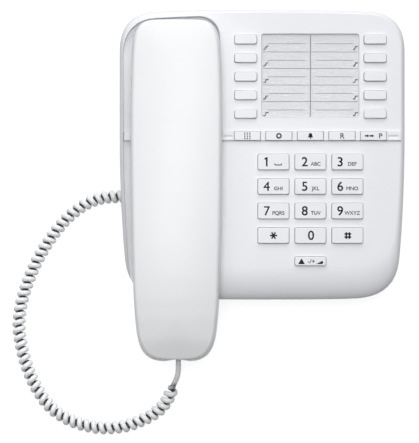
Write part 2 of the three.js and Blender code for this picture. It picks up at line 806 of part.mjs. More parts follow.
/** A plug in its jack: its body and the sprung latch under it. */
function plug() {
  const [length, width, height] = plugSize;
  const tail = plugSeat - length;
  const section = (x, inset) => (
    plate(0, 0, x, [width - 2 * inset, height - 2 * inset], 0.5)
      .map((point) => new THREE.Vector3(point.z, point.x, point.y))
  );
  const body = loft([
    section(tail, 0.3),
    section(tail + 0.6, 0),
    section(plugSeat - 1, 0),
    section(plugSeat, 0.6),
  ]);
  const half = latchWidth / 2;
  const latch = sideProfile([
    [plugSeat - 0.8, -height / 2 + 0.4],
    [plugSeat - 2.6, -height / 2 + 0.4],
    [tail + 0.8, -height / 2 - latchSpace + 0.9],
    [tail + 0.8, -height / 2 - latchSpace + 0.2],
    [plugSeat - 0.8, -height / 2 - 0.6],
  ], [-half, half]);
  return solid(body).add(solid(turned(latch, -Math.PI / 2)));
}

/** A solid's geometry turned about z, and about x before that. */
function turned(shape, aboutZ, aboutX = 0) {
  return piece("", shape, white).geometry.rotateX(aboutX).rotateZ(aboutZ);
}

// ---------------------------------------------------------------- pieces of the handset

const handsetScrewY = handsetTopY - handsetScrewT;

function handsetBack() {
  const top = backHeight(handsetScrewT) - shellWall / 2;
  return backForm(0)
    .subtract(backForm(shellWall))
    .add(rod(handsetX, handsetScrewY, [shellPart + gap, top], 3.2, 14))
    .subtract(rod(handsetX, handsetScrewY, [0, 15], handsetScrewRadius + gap, 10));
}

/** The front shell: a flange under the back shell, the handle, and the two ends that reach lower. */
function handsetFront() {
  const top = shellPart - gap;
  const range = [-30, 30];
  const handle = handsetZone(-20, handsetLength + 20, range, 6, 2 * handsetWidth);
  const ear = handsetZone(-20, earLength, range, 8);
  const earInside = handsetZone(-20, earLength - shellWall, range, 6, handsetWidth - 2 * shellWall);
  const mouth = mouthZone(mouthStart, mouthUnderside);
  const mouthInside = mouthZone(mouthStart + shellWall + 0.4, mouthUnderside + shellWall);
  const form = (inset, underside, edge, upTo, zone) => (
    frontForm([[inset + edge, underside], [inset, underside + edge], [inset, upTo]], zone)
  );
  const hollow = (inset, underside, zone) => (
    frontForm([[inset + shellWall, underside + shellWall], [inset + shellWall, top + 1]], zone)
  );
  const outside = join([
    frontForm([[0.4, top - flangeThickness], [0.4, top]], handle),
    form(handleInset, handleUnderside, 1, top - 0.2, handle),
    form(earInset, earUnderside, 1.5, 0, ear),
    form(handleInset, mouthUnderside, 2, 0, mouth),
  ]);
  const boss = rod(
    handsetX, handsetScrewY, [handleUnderside + 1, shellPart], handsetScrewRadius + gap + 2.2, 14,
  );
  const hole = (dx, t, dy, underside, radius) => (
    rod(handsetX + dx, handsetTopY - t + dy, [-20, underside + shellWall + 1], radius, 8)
  );
  const earHoles = [0, 1, 2, 3, 4, 5].map((n) => (
    hole(7 * Math.cos((n * Math.PI) / 3), earMiddle, 7 * Math.sin((n * Math.PI) / 3), earUnderside, 1.3)
  ));
  return cut(outside, [
    hollow(handleInset, handleUnderside, handle),
    hollow(earInset, earUnderside, earInside),
    hollow(handleInset, mouthUnderside, mouthInside),
  ]).add(boss).subtract(join([
    ...earHoles,
    hole(0, earMiddle, 0, earUnderside, 1.3),
    hole(-2, microphoneT, 0, mouthUnderside, 0.9),
    hole(2, microphoneT, 0, mouthUnderside, 0.9),
    rod(handsetX, handsetScrewY, [-20, 0.1], handsetScrewHead + gap, 12),
    rod(handsetX, handsetScrewY, [-20, 20], handsetScrewRadius + gap, 10),
    solid(inHandset(jackOpening(...plugMouth, [-8, 0.2]))),
  ]));
}

/** Turns a jack or plug over and into place in the handset, where its mouth faces the lower end. */
function inHandset(shape) {
  return turned(shape, Math.PI / 2, Math.PI).translate(
    handsetX + handsetJackOffset, handsetTopY - handsetJackMouth, handsetJackZ,
  );
}

function receiverGasket() {
  const z = earUnderside + shellWall + gap;
  const y = handsetTopY - earMiddle;
  return rod(handsetX, y, [z, z + gasketThickness], receiverRadius + 1, 20).subtract(
    rod(handsetX, y, [z - 1, z + gasketThickness + 1], receiverRadius - 4, 16),
  );
}

function receiver() {
  const z = earUnderside + shellWall + 2 * gap + gasketThickness;
  const y = handsetTopY - earMiddle;
  const [inset, height] = receiverMagnet;
  const top = z + receiverHeight;
  return rod(handsetX, y, [z, top], receiverRadius, 20).add(
    rod(handsetX, y, [top - 1, top + height], receiverRadius - inset, 16),
  );
}

function microphone() {
  const z = mouthUnderside + shellWall + gap;
  return rod(handsetX, handsetTopY - microphoneT, [z, z + microphoneHeight], microphoneRadius, 16);
}

function handsetWeight() {
  const [width, length, height] = weightSize;
  const z = handleUnderside + shellWall + gap;
  return roundBlock(handsetX, handsetTopY - weightT, [z, z + height], [width, length], 2, 2);
}

function handsetScrew() {
  const head = rod(
    handsetX, handsetScrewY, [handleUnderside + 0.2, -gap + 0.1], handsetScrewHead, 12,
  );
  return head.add(rod(handsetX, handsetScrewY, [-gap - 0.5, 12], handsetScrewRadius, 8));
}

// ---------------------------------------------------------------- the cord

/** A closed tube round centre points. `outward` gives the direction that its sections turn with. */
function tube(centres, outward, diameter, sides = cableSides) {
  const rings = centres.map((centre, n) => {
    const along = centres[Math.min(n + 1, centres.length - 1)].clone()
      .sub(centres[Math.max(n - 1, 0)]).normalize();
    const across = new THREE.Vector3().crossVectors(along, outward(n)).normalize();
    const out = new THREE.Vector3().crossVectors(across, along);
    return Array.from({ length: sides }, (_, side) => {
      const angle = (side / sides) * 2 * Math.PI;
      return centre.clone()
        .addScaledVector(out, (diameter / 2) * Math.cos(angle))
        .addScaledVector(across, (diameter / 2) * Math.sin(angle));
    });
  });
  return loft(rings);
}

// Points in the table frame. The first lead falls from the handset's plug towards the table.
const handsetLead = [
  [-50.5, -121.15, 18.1], [-50.5, -124.4, 17.6], [-50.6, -128, 16], [-51.1, -131.2, 14.1],
  [-52.2, -134, 11.9],
];
const coilRoute = [
  [-52.35, -134.25, 11.7], [-53.5, -136.6, 10], [-54.9, -140.2, 8.3], [-57.3, -145.2, 6.4],
  [-60.9, -150, 5], [-65.8, -153.9, 4.3], [-72.1, -157.2, 4.2], [-80, -160.3, 4.2],
  [-88.5, -161.8, 4.2], [-97, -162.1, 4.2], [-105.5, -160.9, 4.2], [-114, -158.4, 4.2],
  [-121.9, -154.5, 4.2], [-129.3, -148.5, 4.2], [-135.5, -140.3, 4.2], [-140.5, -130.9, 4.2],
  [-144.2, -121.2, 4.2], [-146.8, -111.1, 4.2], [-148.2, -100.4, 4.2], [-147.4, -89.3, 4.2],
  [-144.8, -78.3, 4.2], [-141, -67.5, 4.2], [-135.9, -56.7, 4.2], [-129.9, -46.8, 4.2],
  [-122.6, -37.1, 4.2], [-114.1, -29, 4.2], [-104.9, -23.4, 4.2], [-95.6, -20.8, 4.2],
  [-87.3, -20.4, 4.2], [-78, -20.5, 4.2], [-71, -20.5, 4.25],
];
const baseLead = [
  [-70.7, -20.5, 4.25], [-68.7, -20.5, 4.4], [-66, -20.5, 5.7], [-63, -20.5, 8], [-60, -20.5, 9.9],
  [-57.6, -20.5, 10.4], [-55.3, -20.5, 10.4],
];

function routeOf(points) {
  return new THREE.CatmullRomCurve3(points.map((p) => new THREE.Vector3(...p)));
}

/** A straight or gently bent stretch of cable. */
function lead(points) {
  const section = new THREE.Shape(
    Array.from({ length: 8 }, (_, n) => {
      const angle = ((n + 0.5) / 8) * 2 * Math.PI;
      return new THREE.Vector2(Math.cos(angle), Math.sin(angle)).multiplyScalar(cableDiameter / 2);
    }),
  );
  return solid(new THREE.ExtrudeGeometry(section, {
    steps: 8, bevelEnabled: false, extrudePath: routeOf(points),
  }));
}

/** The curls: one unbroken tube wound along its route, with straight ends one diameter long. */
function cordCoil() {
  const route = routeOf(coilRoute);
  const length = route.getLength();
  const wound = length - 2 * cableDiameter;
  const steps = Math.round(wound / curlPitch) * curlSteps;
  const stops = Array.from({ length: steps + 1 }, (_, n) => (
    (cableDiameter + (wound * n) / steps) / length
  ));
  const outwards = [];
  const centres = [0, ...stops, 1].map((stop, n) => {
    const turn = THREE.MathUtils.clamp(n - 1, 0, steps);
    const angle = (turn / curlSteps) * 2 * Math.PI;
    const fromEnd = Math.min(turn, steps - turn);
    const radius = coilRadius * THREE.MathUtils.smoothstep(fromEnd, 0, curlSteps);
    const along = route.getTangentAt(stop);
    const side = new THREE.Vector3(0, 0, 1).cross(along).normalize();
    const top = along.clone().cross(side);
    outwards.push(side.multiplyScalar(Math.cos(angle)).addScaledVector(top, Math.sin(angle)));
    return route.getPointAt(stop).addScaledVector(outwards.at(-1), radius);
  });
  let least = Infinity;
  centres.forEach((a, i) => centres.slice(i + curlSteps - 2).forEach((b) => {
    least = Math.min(least, a.distanceTo(b) - cableDiameter);
  }));
  console.log(`cord: ${steps / curlSteps} curls, least gap between curls ${least.toFixed(2)} mm`);
  return tube(centres, (n) => outwards[n], cableDiameter);
}

// ---------------------------------------------------------------- assembly

const phone = new THREE.Group();
const face = new THREE.Group();
face.position.z = faceHeight;
face.rotation.x = tilt;
phone.add(face);

face.add(
  piece("upper_case", upperCase(), white),
  piece("function_bar", functionBar(), white),
  piece("card_window", cardWindow(), clear),
  piece("index_card", indexCard(), card),
  piece("key_mat", keyMat(), rubber),
  piece("main_board", mainBoard(), board),
  piece("hook_switch", hookSwitch(), black),
  piece("hook_plunger", hookPlunger(), white),
  piece("hook_spring", hookSpring(), steel),
  ...screwPlaces.map((place, n) => piece("case_screw_" + (n + 1), caseScrew(place), steel)),
  ...keys.map((key) => piece(key.name, keyForm(key), whiteKey)),
  piece("handset_back", handsetBack(), white),
  piece("handset_front", handsetFront(), white),
  piece("receiver", receiver(), black),
  piece("receiver_gasket", receiverGasket(), rubber),
  piece("microphone", microphone(), steel),
  piece("handset_weight", handsetWeight(), steel),
  piece("handset_screw", handsetScrew(), steel),
  piece("handset_jack", inHandset(jack(...plugMouth)), white),
  piece("handset_plug", inHandset(plug()), clear),
);

const baseJack = piece("base_handset_jack", jack(...plugMouth), white);
const basePlug = piece("base_plug", plug(), clear);
[baseJack, basePlug].forEach((mesh) => mesh.position.set(jackMouth, cordY, baseJackZ));
const lineJack = piece("line_jack", jack(...lineSocket), white);
lineJack.position.set(lineJackX, lineJackY, lineJackZ);
lineJack.rotation.z = -Math.PI / 2;

phone.add(
  piece("lower_case", lowerCase(), white),
  piece("ringer", ringer(), black),
  ...feetPlaces.map(([x, y], n) => (
    piece("foot_" + (n + 1), rod(x, y, [0, footThickness], footRadius, 14), rubber)
  )),
  baseJack,
  basePlug,
  lineJack,
);

// The origin goes under the middle of everything but the cord, which is added after it is found.
phone.updateMatrixWorld(true);
const middle = new THREE.Box3();
phone.traverse((node) => {
  if (node.isMesh && !node.name.endsWith("_plug")) middle.expandByObject(node, true);
});
phone.add(
  piece("cord_lead_base", lead(baseLead), whiteCord),
  piece("cord_coil", cordCoil(), whiteCord),
  piece("cord_lead_handset", lead(handsetLead), whiteCord),
);
phone.position.y = -middle.getCenter(new THREE.Vector3()).y;
console.log(`table frame moved by ${phone.position.y.toFixed(3)} mm along y`);

export default phone;
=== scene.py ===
# %% [markdown]
# # A white desk phone with a curly cord
#
# The phone is a sloping base with a cradle on its left, a handset that lies in the cradle, and a curly
# cord between them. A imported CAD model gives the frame: where each piece is, what it moves with, and how
# big the whole phone may be. Here the frame's plain pieces get the surfaces that a real phone has.

# %% Load the frame
import json
import math

import bmesh
import bpy
from mathutils import Matrix, Vector
from mathutils.kdtree import KDTree

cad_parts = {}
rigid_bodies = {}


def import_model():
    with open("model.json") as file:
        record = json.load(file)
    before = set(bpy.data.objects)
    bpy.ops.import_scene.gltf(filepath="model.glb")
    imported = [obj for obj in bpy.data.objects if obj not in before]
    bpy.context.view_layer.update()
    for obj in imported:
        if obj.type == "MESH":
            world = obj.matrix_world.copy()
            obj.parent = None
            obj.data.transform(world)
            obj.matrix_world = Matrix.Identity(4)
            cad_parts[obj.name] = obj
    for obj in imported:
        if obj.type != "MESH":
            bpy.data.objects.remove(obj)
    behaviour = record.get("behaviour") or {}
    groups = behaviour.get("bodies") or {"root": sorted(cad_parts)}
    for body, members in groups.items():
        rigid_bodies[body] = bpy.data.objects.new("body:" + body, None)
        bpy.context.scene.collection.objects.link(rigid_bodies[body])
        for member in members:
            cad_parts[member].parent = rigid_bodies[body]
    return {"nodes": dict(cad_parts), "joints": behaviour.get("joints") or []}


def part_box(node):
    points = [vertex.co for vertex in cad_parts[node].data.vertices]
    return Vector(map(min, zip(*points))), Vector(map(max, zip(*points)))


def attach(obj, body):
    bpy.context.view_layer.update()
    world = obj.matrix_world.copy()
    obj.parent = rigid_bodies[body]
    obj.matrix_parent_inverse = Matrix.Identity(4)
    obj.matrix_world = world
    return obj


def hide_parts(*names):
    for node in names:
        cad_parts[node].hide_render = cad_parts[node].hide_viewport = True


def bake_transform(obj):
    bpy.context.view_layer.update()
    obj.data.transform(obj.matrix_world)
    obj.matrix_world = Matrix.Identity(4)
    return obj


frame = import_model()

for leftover in [thing for thing in bpy.data.objects if thing.name in ("Cube", "Light", "Camera")]:
    bpy.data.objects.remove(leftover)  # what a new Blender file starts with
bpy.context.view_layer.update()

# %% [markdown]
# ## Two frames
#
# Most of the phone is drawn on its sloping face, so it is easier to model each piece lying flat and then
# to tilt it into place. On the flat, x runs to the right, y up the slope and z out of the face, and the
# origin is the middle of the face. The handset lifts straight off the face, so its joint's axis gives the
# slope. All sizes below are in millimetres, and `MM` turns them into Blender's metres.

# %% The tilted face
MM = 0.001
LIFT_AXIS = next(Vector(j["axis"]) for j in frame["joints"] if j["child"] == "handset")
TILT = math.atan2(-LIFT_AXIS.y, LIFT_AXIS.z)
TABLE_SHIFT = 17.55  # from the middle of the base to the frame's origin, along y
FACE_HEIGHT = 39.2
FACE = Matrix.Translation(Vector((0, TABLE_SHIFT, FACE_HEIGHT)) * MM) @ Matrix.Rotation(TILT, 4, "X")
print("the face slopes by", round(math.degrees(TILT), 2), "degrees")

# %% [markdown]
# ## The camera
#
# The photograph looks square onto the face. A camera on the face's own axis does that: it is placed on
# the flat, over the middle of the picture, and tilted with the same matrix as the pieces. The lens
# follows from what one pixel covers at the face.

# %% Place the camera
PICTURE = (419, 443)  # pixels
PIXEL = 0.6  # mm on the face
PICTURE_MIDDLE = (-31.75, -40.4)  # where the picture's middle falls on the face
CAMERA_DISTANCE = 1100
SENSOR = 36

bpy.ops.object.camera_add()
camera = bpy.context.object
camera.data.sensor_fit = "VERTICAL"
camera.data.sensor_height = SENSOR
camera.data.lens = SENSOR * CAMERA_DISTANCE / (PICTURE[1] * PIXEL)
camera.matrix_world = FACE @ Matrix.Translation(Vector((*PICTURE_MIDDLE, CAMERA_DISTANCE)) * MM)
bpy.context.scene.camera = camera
print("lens", round(camera.data.lens, 2), "mm")

# %% [markdown]
# ## Colour and nodes
#
# Colours are picked on a screen, so they are written as sRGB hex codes, and one function turns
# them into the linear values that the renderer counts in. One more function adds a shader node, sets it
# and links it, and every material below is made with it.

# %% Helpers for materials
def colour(code):
    """A linear colour from an sRGB hex code."""
    channels = [int(code[n:n + 2], 16) / 255 for n in (1, 3, 5)]
    linear = [c / 12.92 if c <= 0.04045 else ((c + 0.055) / 1.055) ** 2.4 for c in channels]
    return (*linear, 1)


def add(tree, kind, inputs, **settings):
    """Add a node. Each input is a value, or another node's output that is linked to it."""
    made = tree.nodes.new(kind)
    for name, value in settings.items():
        setattr(made, name, value)
    for name, value in inputs.items():
        if isinstance(value, bpy.types.NodeSocket):
            tree.links.new(value, made.inputs[name])
        else:
            made.inputs[name].default_value = value
    return made


def new_material(name):
    """An empty material, and its tree."""
    made = bpy.data.materials.new(name)
    made.use_nodes = True
    made.node_tree.nodes.clear()
    return made, made.node_tree


# %% [markdown]
# ## Moulded plastic
#
# The case, the handset and the keys are injection-moulded ABS. It isn't painted: the pellets are white
# all through, and the tool's spark-eroded or polished steel leaves a very fine grain. To the eye this
# gives a soft, even gloss with no flakes or brush marks. Two noises do it: a wide one that changes the
# tone by a breath, as thicker and thinner walls do, and a fine one that roughens the gloss and lifts the
# surface by some thousandths of a millimetre. The real grain is near 0.1 mm, which no pixel here could
# show, so it is drawn a few times coarser.

# %% A moulded plastic
ABS_IOR = 1.54
GLOSS_DRIFT = 0.04  # how far the roughness wanders, either way


def moulded(name, tone, shade, roughness, grain=0.35, relief=0.004, blotch=22, shine=0.5, painted_shade=None):
    """Moulded plastic that drifts between a tone and a shade; grain, relief and blotch are in mm.

    Painted shade is a darker tone, painted where the piece's own attribute marks shade.
    """
    made, tree = new_material(name)
    place = add(tree, "ShaderNodeTexCoord", {}).outputs["Object"]
    drift = add(tree, "ShaderNodeTexNoise", {"Vector": place, "Scale": 1 / (blotch * MM), "Detail": 2.0})
    fine = add(tree, "ShaderNodeTexNoise", {"Vector": place, "Scale": 1 / (grain * MM), "Detail": 3.0})
    mixed = add(tree, "ShaderNodeMix", {
        "Factor": drift.outputs["Fac"], "A": colour(tone), "B": colour(shade),
    }, data_type="RGBA")
    gloss = add(tree, "ShaderNodeMapRange", {
        "Value": fine.outputs["Fac"], "To Min": roughness - GLOSS_DRIFT, "To Max": roughness + GLOSS_DRIFT,
    })
    bump = add(tree, "ShaderNodeBump", {
        "Height": fine.outputs["Fac"], "Strength": 1.0, "Distance": relief * MM,
    })
    # Painted shade: a darker tone is mixed in where the piece's attribute marks shade.
    if painted_shade:
        painted_coil_shade = add(tree, "ShaderNodeAttribute", {}, attribute_name="painted_coil_shade")
        mixed = add(tree, "ShaderNodeMix", {
            "Factor": painted_coil_shade.outputs["Fac"], "A": mixed.outputs["Result"], "B": colour(painted_shade),
        }, data_type="RGBA")
    shader = add(tree, "ShaderNodeBsdfPrincipled", {
        "Base Color": mixed.outputs["Result"], "Roughness": gloss.outputs["Result"],
        "IOR": ABS_IOR, "Specular IOR Level": shine, "Normal": bump.outputs["Normal"],
    })
    add(tree, "ShaderNodeOutputMaterial", {"Surface": shader.outputs["BSDF"]})
    return made


case_abs = moulded("satin moulded ABS, case", "#ebecef", "#e8e9ed", 0.4)
handset_abs = moulded("satin moulded ABS, handset", "#f4f5f7", "#f1f2f4", 0.38)
key_abs = moulded("fine matt moulded ABS, keys", "#ecedf0", "#e9eaed", 0.42, grain=0.25)
black_abs = moulded("black moulded plastic", "#2b2c2e", "#232426", 0.45)
jack_abs = moulded("white moulded nylon, jacks", "#e9e9e6", "#e2e2df", 0.4)
print("moulded plastics:", [m.name for m in (case_abs, handset_abs, key_abs, black_abs, jack_abs)])

# %% [markdown]
# ## Cord, rubber and ink
#
# The cord's sheath is soft PVC, drawn through a die: a little less glossy than the case, with no grain to
# speak of, and a trace of drag along it. The feet and the key mat are filled silicone or rubber, dull
# and dark. Printed ink is a film some hundredths of a millimetre thick, with the matt edge of a pad print.
# All three are close to the moulded plastics in build, with their own tone, gloss and grain.

# %% Sheath, rubber and ink
# The sheath's darkest colour is painted shade on the side of the cable inside the coil.
sheath_pvc = moulded(
    "extruded PVC sheath", "#f6f7f8", "#f2f3f4", 0.4, grain=0.6, relief=0.01, blotch=9, painted_shade="#58595b")
foot_rubber = moulded("dark grey moulded rubber", "#3c3d3f", "#333436", 0.8, grain=0.5, relief=0.03, blotch=6)
printed = {"grain": 0.15, "relief": 0.002, "blotch": 3, "shine": 0.2}
dark_ink = moulded("black pad-printed ink", "#0f1011", "#161718", 0.65, **printed)
grey_ink = moulded("grey pad-printed ink", "#5d5e61", "#67686b", 0.65, **printed)
line_ink = moulded("grey offset ink", "#808185", "#8a8b8f", 0.7, **printed)
print("inks and rubbers:", [m.name for m in (sheath_pvc, foot_rubber, dark_ink, grey_ink, line_ink)])

# %% [markdown]
# ## Paper, clear parts, metal and the board
#
# The index card is uncoated stock: its fibres show as short pale streaks, so a noise is stretched along
# x. Its colour is painted darker towards its upper edge: painted shade for the shadow of the recess. The
# window is cut from polished acrylic, and the plugs are clear polycarbonate. As both are thin, they are drawn
# as a glossy film that lets most light straight through, which also lets the lamps light what is under them.
# Metals keep the default IOR: zinc-plated steel for screws and springs, aluminium for the microphone's
# can. The board is glass epoxy under green solder mask.

# %% Paper and clear sheet
FIBRE, FIBRE_RELIEF = 0.15, 0.0002  # mm
FIBRE_STRETCH = (0.25, 1, 1)
PAINTED_SHADE_START, PAINTED_SHADE_END = 55, 92  # mm along y: where the card's painted shade sets in, and where it would be full
FILM_DRIFT = 0.03


def card_stock(name, tone, painted_shade_tone, shade):
    """Uncoated card with fibres that lie along x, with shade painted darker towards its upper edge."""
    made, tree = new_material(name)
    place = add(tree, "ShaderNodeTexCoord", {}).outputs["Object"]
    stretched = add(tree, "ShaderNodeMapping", {"Vector": place, "Scale": FIBRE_STRETCH})
    fibre = add(tree, "ShaderNodeTexNoise", {
        "Vector": stretched.outputs["Vector"], "Scale": 1 / (FIBRE * MM), "Detail": 3.0,
    })
    upwards = add(tree, "ShaderNodeSeparateXYZ", {"Vector": place})
    # Painted shade: the card's colour darkens towards its upper edge, where the recess shades it.
    card_shade_ramp = add(tree, "ShaderNodeMapRange", {
        "Value": upwards.outputs["Y"], "From Min": PAINTED_SHADE_START * MM, "From Max": PAINTED_SHADE_END * MM,
    })
    ground = add(tree, "ShaderNodeMix", {
        "Factor": card_shade_ramp.outputs["Result"], "A": colour(tone), "B": colour(painted_shade_tone),
    }, data_type="RGBA")
    mixed = add(tree, "ShaderNodeMix", {
        "Factor": fibre.outputs["Fac"], "A": ground.outputs["Result"], "B": colour(shade),
    }, data_type="RGBA")
    bump = add(tree, "ShaderNodeBump", {
        "Height": fibre.outputs["Fac"], "Strength": 1.0, "Distance": FIBRE_RELIEF * MM,
    })
    shader = add(tree, "ShaderNodeBsdfPrincipled", {
        "Base Color": mixed.outputs["Result"], "Roughness": 0.85, "Normal": bump.outputs["Normal"],
    })
    add(tree, "ShaderNodeOutputMaterial", {"Surface": shader.outputs["BSDF"]})
    return made


def clear_plastic(name, tone, roughness, ior, film, scratch=0.5):
    """A thin clear part: film is how much of it is seen, and the rest lets light through."""
    made, tree = new_material(name)
    place = add(tree, "ShaderNodeTexCoord", {}).outputs["Object"]
    haze = add(tree, "ShaderNodeTexNoise", {"Vector": place, "Scale": 1 / (scratch * MM), "Detail": 2.0})
    gloss = add(tree, "ShaderNodeMapRange", {
        "Value": haze.outputs["Fac"], "To Min": roughness, "To Max": roughness + FILM_DRIFT,
    })
    shader = add(tree, "ShaderNodeBsdfPrincipled", {
        "Base Color": colour(tone), "Roughness": gloss.outputs["Result"], "IOR": ior, "Alpha": film,
    })
    add(tree, "ShaderNodeOutputMaterial", {"Surface": shader.outputs["BSDF"]})
    return made


# The second colour is painted shade, towards the card's upper edge.
white_card = card_stock("uncoated pale grey card", "#e6e7ea", "#d8d9dd", "#e1e2e5")
window_acrylic = clear_plastic("polished acrylic sheet", "#f6f8fa", 0.04, 1.49, 0.1)
plug_polycarbonate = clear_plastic("clear moulded polycarbonate", "#e8ecee", 0.08, 1.58, 0.35)
print("clear parts:", [m.name for m in (white_card, window_acrylic, plug_polycarbonate)])

# %% Metals and the board
METAL_DRIFT = 0.06


def metal(name, tone, shade, roughness, grain=0.3):
    """A plated or drawn metal with a fine, slightly uneven finish."""
    made, tree = new_material(name)
    place = add(tree, "ShaderNodeTexCoord", {}).outputs["Object"]
    fine = add(tree, "ShaderNodeTexNoise", {"Vector": place, "Scale": 1 / (grain * MM), "Detail": 3.0})
    mixed = add(tree, "ShaderNodeMix", {
        "Factor": fine.outputs["Fac"], "A": colour(tone), "B": colour(shade),
    }, data_type="RGBA")
    gloss = add(tree, "ShaderNodeMapRange", {
        "Value": fine.outputs["Fac"], "To Min": roughness - METAL_DRIFT, "To Max": roughness + METAL_DRIFT,
    })
    shader = add(tree, "ShaderNodeBsdfPrincipled", {
        "Base Color": mixed.outputs["Result"], "Roughness": gloss.outputs["Result"], "Metallic": 1.0,
    })
    add(tree, "ShaderNodeOutputMaterial", {"Surface": shader.outputs["BSDF"]})
    return made


zinc_steel = metal("zinc-plated steel", "#b9bbbe", "#a9abaf", 0.32)
drawn_aluminium = metal("drawn aluminium can", "#c9cacc", "#bdbec1", 0.3)
solder_mask = moulded("green solder mask on glass epoxy", "#2f6b45", "#28603d", 0.35, grain=1.2, relief=0.01)
print("metals and board:", [m.name for m in (zinc_steel, drawn_aluminium, solder_mask)])

# %% [markdown]
# ## Light, floor and background
#
# The phone is lit like a product on a light table. A long narrow softbox hangs over it and mirrors in the
# handset's crown as a soft upright streak. A larger one stands beyond its top edge, and a tent round it
# fills the shadows. A tent that is equally bright all round would light the front roll and the handset's
# lower end as much as the rest, and the shape would be lost. So this one fades towards the horizon in
# front. The background is white only for the camera and for what mirrors it: the floor adds some glow of
# its own to those rays, and keeps the phone's shadow.

# %% Hang the lamps
STRIP_LIGHT = {"place": (-45, -60, 1000), "size": (240, 600), "power": 3.0}  # mm, mm and watts
KEY_LIGHT = {"place": (0, 1100, 900), "size": (900, 700), "power": 5.4}


def softbox(name, place, size, power):
    """A rectangular lamp that points at the phone."""
    bpy.ops.object.light_add(type="AREA")
    lamp = bpy.context.object
    lamp.name = name
    lamp.data.shape = "RECTANGLE"
    lamp.data.size, lamp.data.size_y = (side * MM for side in size)
    lamp.data.energy = power
    lamp.location = Vector(place) * MM
    lamp.rotation_euler = (-lamp.location).to_track_quat("-Z", "Y").to_euler()
    return lamp


strip_light = softbox("strip light", **STRIP_LIGHT)
key_light = softbox("key light", **KEY_LIGHT)
print("lamps:", [(lamp.name, lamp.data.energy) for lamp in (strip_light, key_light)])


# %% Put up the tent
TENT_SIDE = (-0.1, 0.6, 0.8)  # where the tent is brightest
TENT_DARK, TENT_BRIGHT, TENT_FALLOFF = -0.06, 1.34, 2


def background_rays(tree):
    """One for the rays that see the background itself: the camera's, and mirrored and refracted ones."""
    ray = add(tree, "ShaderNodeLightPath", {})
    mirrored_too = add(tree, "ShaderNodeMath", {
        0: ray.outputs["Is Camera Ray"], 1: ray.outputs["Is Glossy Ray"],
    }, operation="MAXIMUM")
    return add(tree, "ShaderNodeMath", {
        0: mirrored_too.outputs["Value"], 1: ray.outputs["Is Transmission Ray"],
    }, operation="MAXIMUM").outputs["Value"]


world = bpy.data.worlds.new("light tent")
bpy.context.scene.world = world
world.use_nodes = True
tree = world.node_tree
tree.nodes.clear()
direction = add(tree, "ShaderNodeTexCoord", {}).outputs["Generated"]
towards = add(tree, "ShaderNodeVectorMath", {0: direction, 1: TENT_SIDE}, operation="DOT_PRODUCT")
facing = add(tree, "ShaderNodeMath", {0: towards.outputs["Value"], 1: 0.0}, operation="MAXIMUM")
lobe = add(tree, "ShaderNodeMath", {0: facing.outputs["Value"], 1: TENT_FALLOFF}, operation="POWER")
tent = add(tree, "ShaderNodeMapRange", {
    "Value": lobe.outputs["Value"], "To Min": TENT_DARK, "To Max": TENT_BRIGHT,
})
strength = add(tree, "ShaderNodeMath", {
    0: background_rays(tree), 1: tent.outputs["Result"],
}, operation="MAXIMUM")
sky = add(tree, "ShaderNodeBackground", {"Color": (1, 1, 1, 1), "Strength": strength.outputs["Value"]})
add(tree, "ShaderNodeOutputWorld", {"Surface": sky.outputs["Background"]})

bpy.context.scene.view_settings.view_transform = "Standard"
print("tent:", TENT_DARK, "to", TENT_BRIGHT)

# %% Lay the floor
FLOOR_SIZE = 6000  # mm
FLOOR_TONE = "#9a9b9c"
FLOOR_GLOW = 0.85  # for rays that see the floor as background

floor_paint, tree = new_material("pale matt floor")
glow = add(tree, "ShaderNodeMath", {0: background_rays(tree), 1: FLOOR_GLOW}, operation="MULTIPLY")
shader = add(tree, "ShaderNodeBsdfPrincipled", {
    "Base Color": colour(FLOOR_TONE), "Roughness": 0.9, "Specular IOR Level": 0.1,
    "Emission Color": (1, 1, 1, 1), "Emission Strength": glow.outputs["Value"],
})
# Seen from below, the floor is clear, so that it doesn't hide the phone's underside.
under = add(tree, "ShaderNodeNewGeometry", {}).outputs["Backfacing"]
clear = add(tree, "ShaderNodeBsdfTransparent", {})
one_sided = add(tree, "ShaderNodeMixShader", {
    0: under, 1: shader.outputs["BSDF"], 2: clear.outputs["BSDF"],
})
add(tree, "ShaderNodeOutputMaterial", {"Surface": one_sided.outputs["Shader"]})

bpy.ops.mesh.primitive_plane_add(size=FLOOR_SIZE * MM)
floor = bpy.context.object
floor.name = "floor"
floor.data.materials.append(floor_paint)

# %% [markdown]
# ## The curly cord
#
# A curly cord is wound on a rod while it is hot and keeps its curls. It is modelled as what it is: one
# cable 3.2 mm thick, wound into 59 curls along the line on which it lies, with a short straight lead at
# each end. The line leaves the plug in the base's left side, runs round in front of the phone on the
# table and climbs to the plug in the handset. A curve through the line's points gives its middle, the
# helix is worked out around it turn by turn, and a round section is drawn along the helix.

# %% Where the cord lies
CABLE = 3.2
COIL_RADIUS = 2.55  # of the cable's own middle, round the line
CURL_PITCH = 4.5
CURL_STEPS = 18
CABLE_SIDES_SETTING = 4  # gives 12 sides

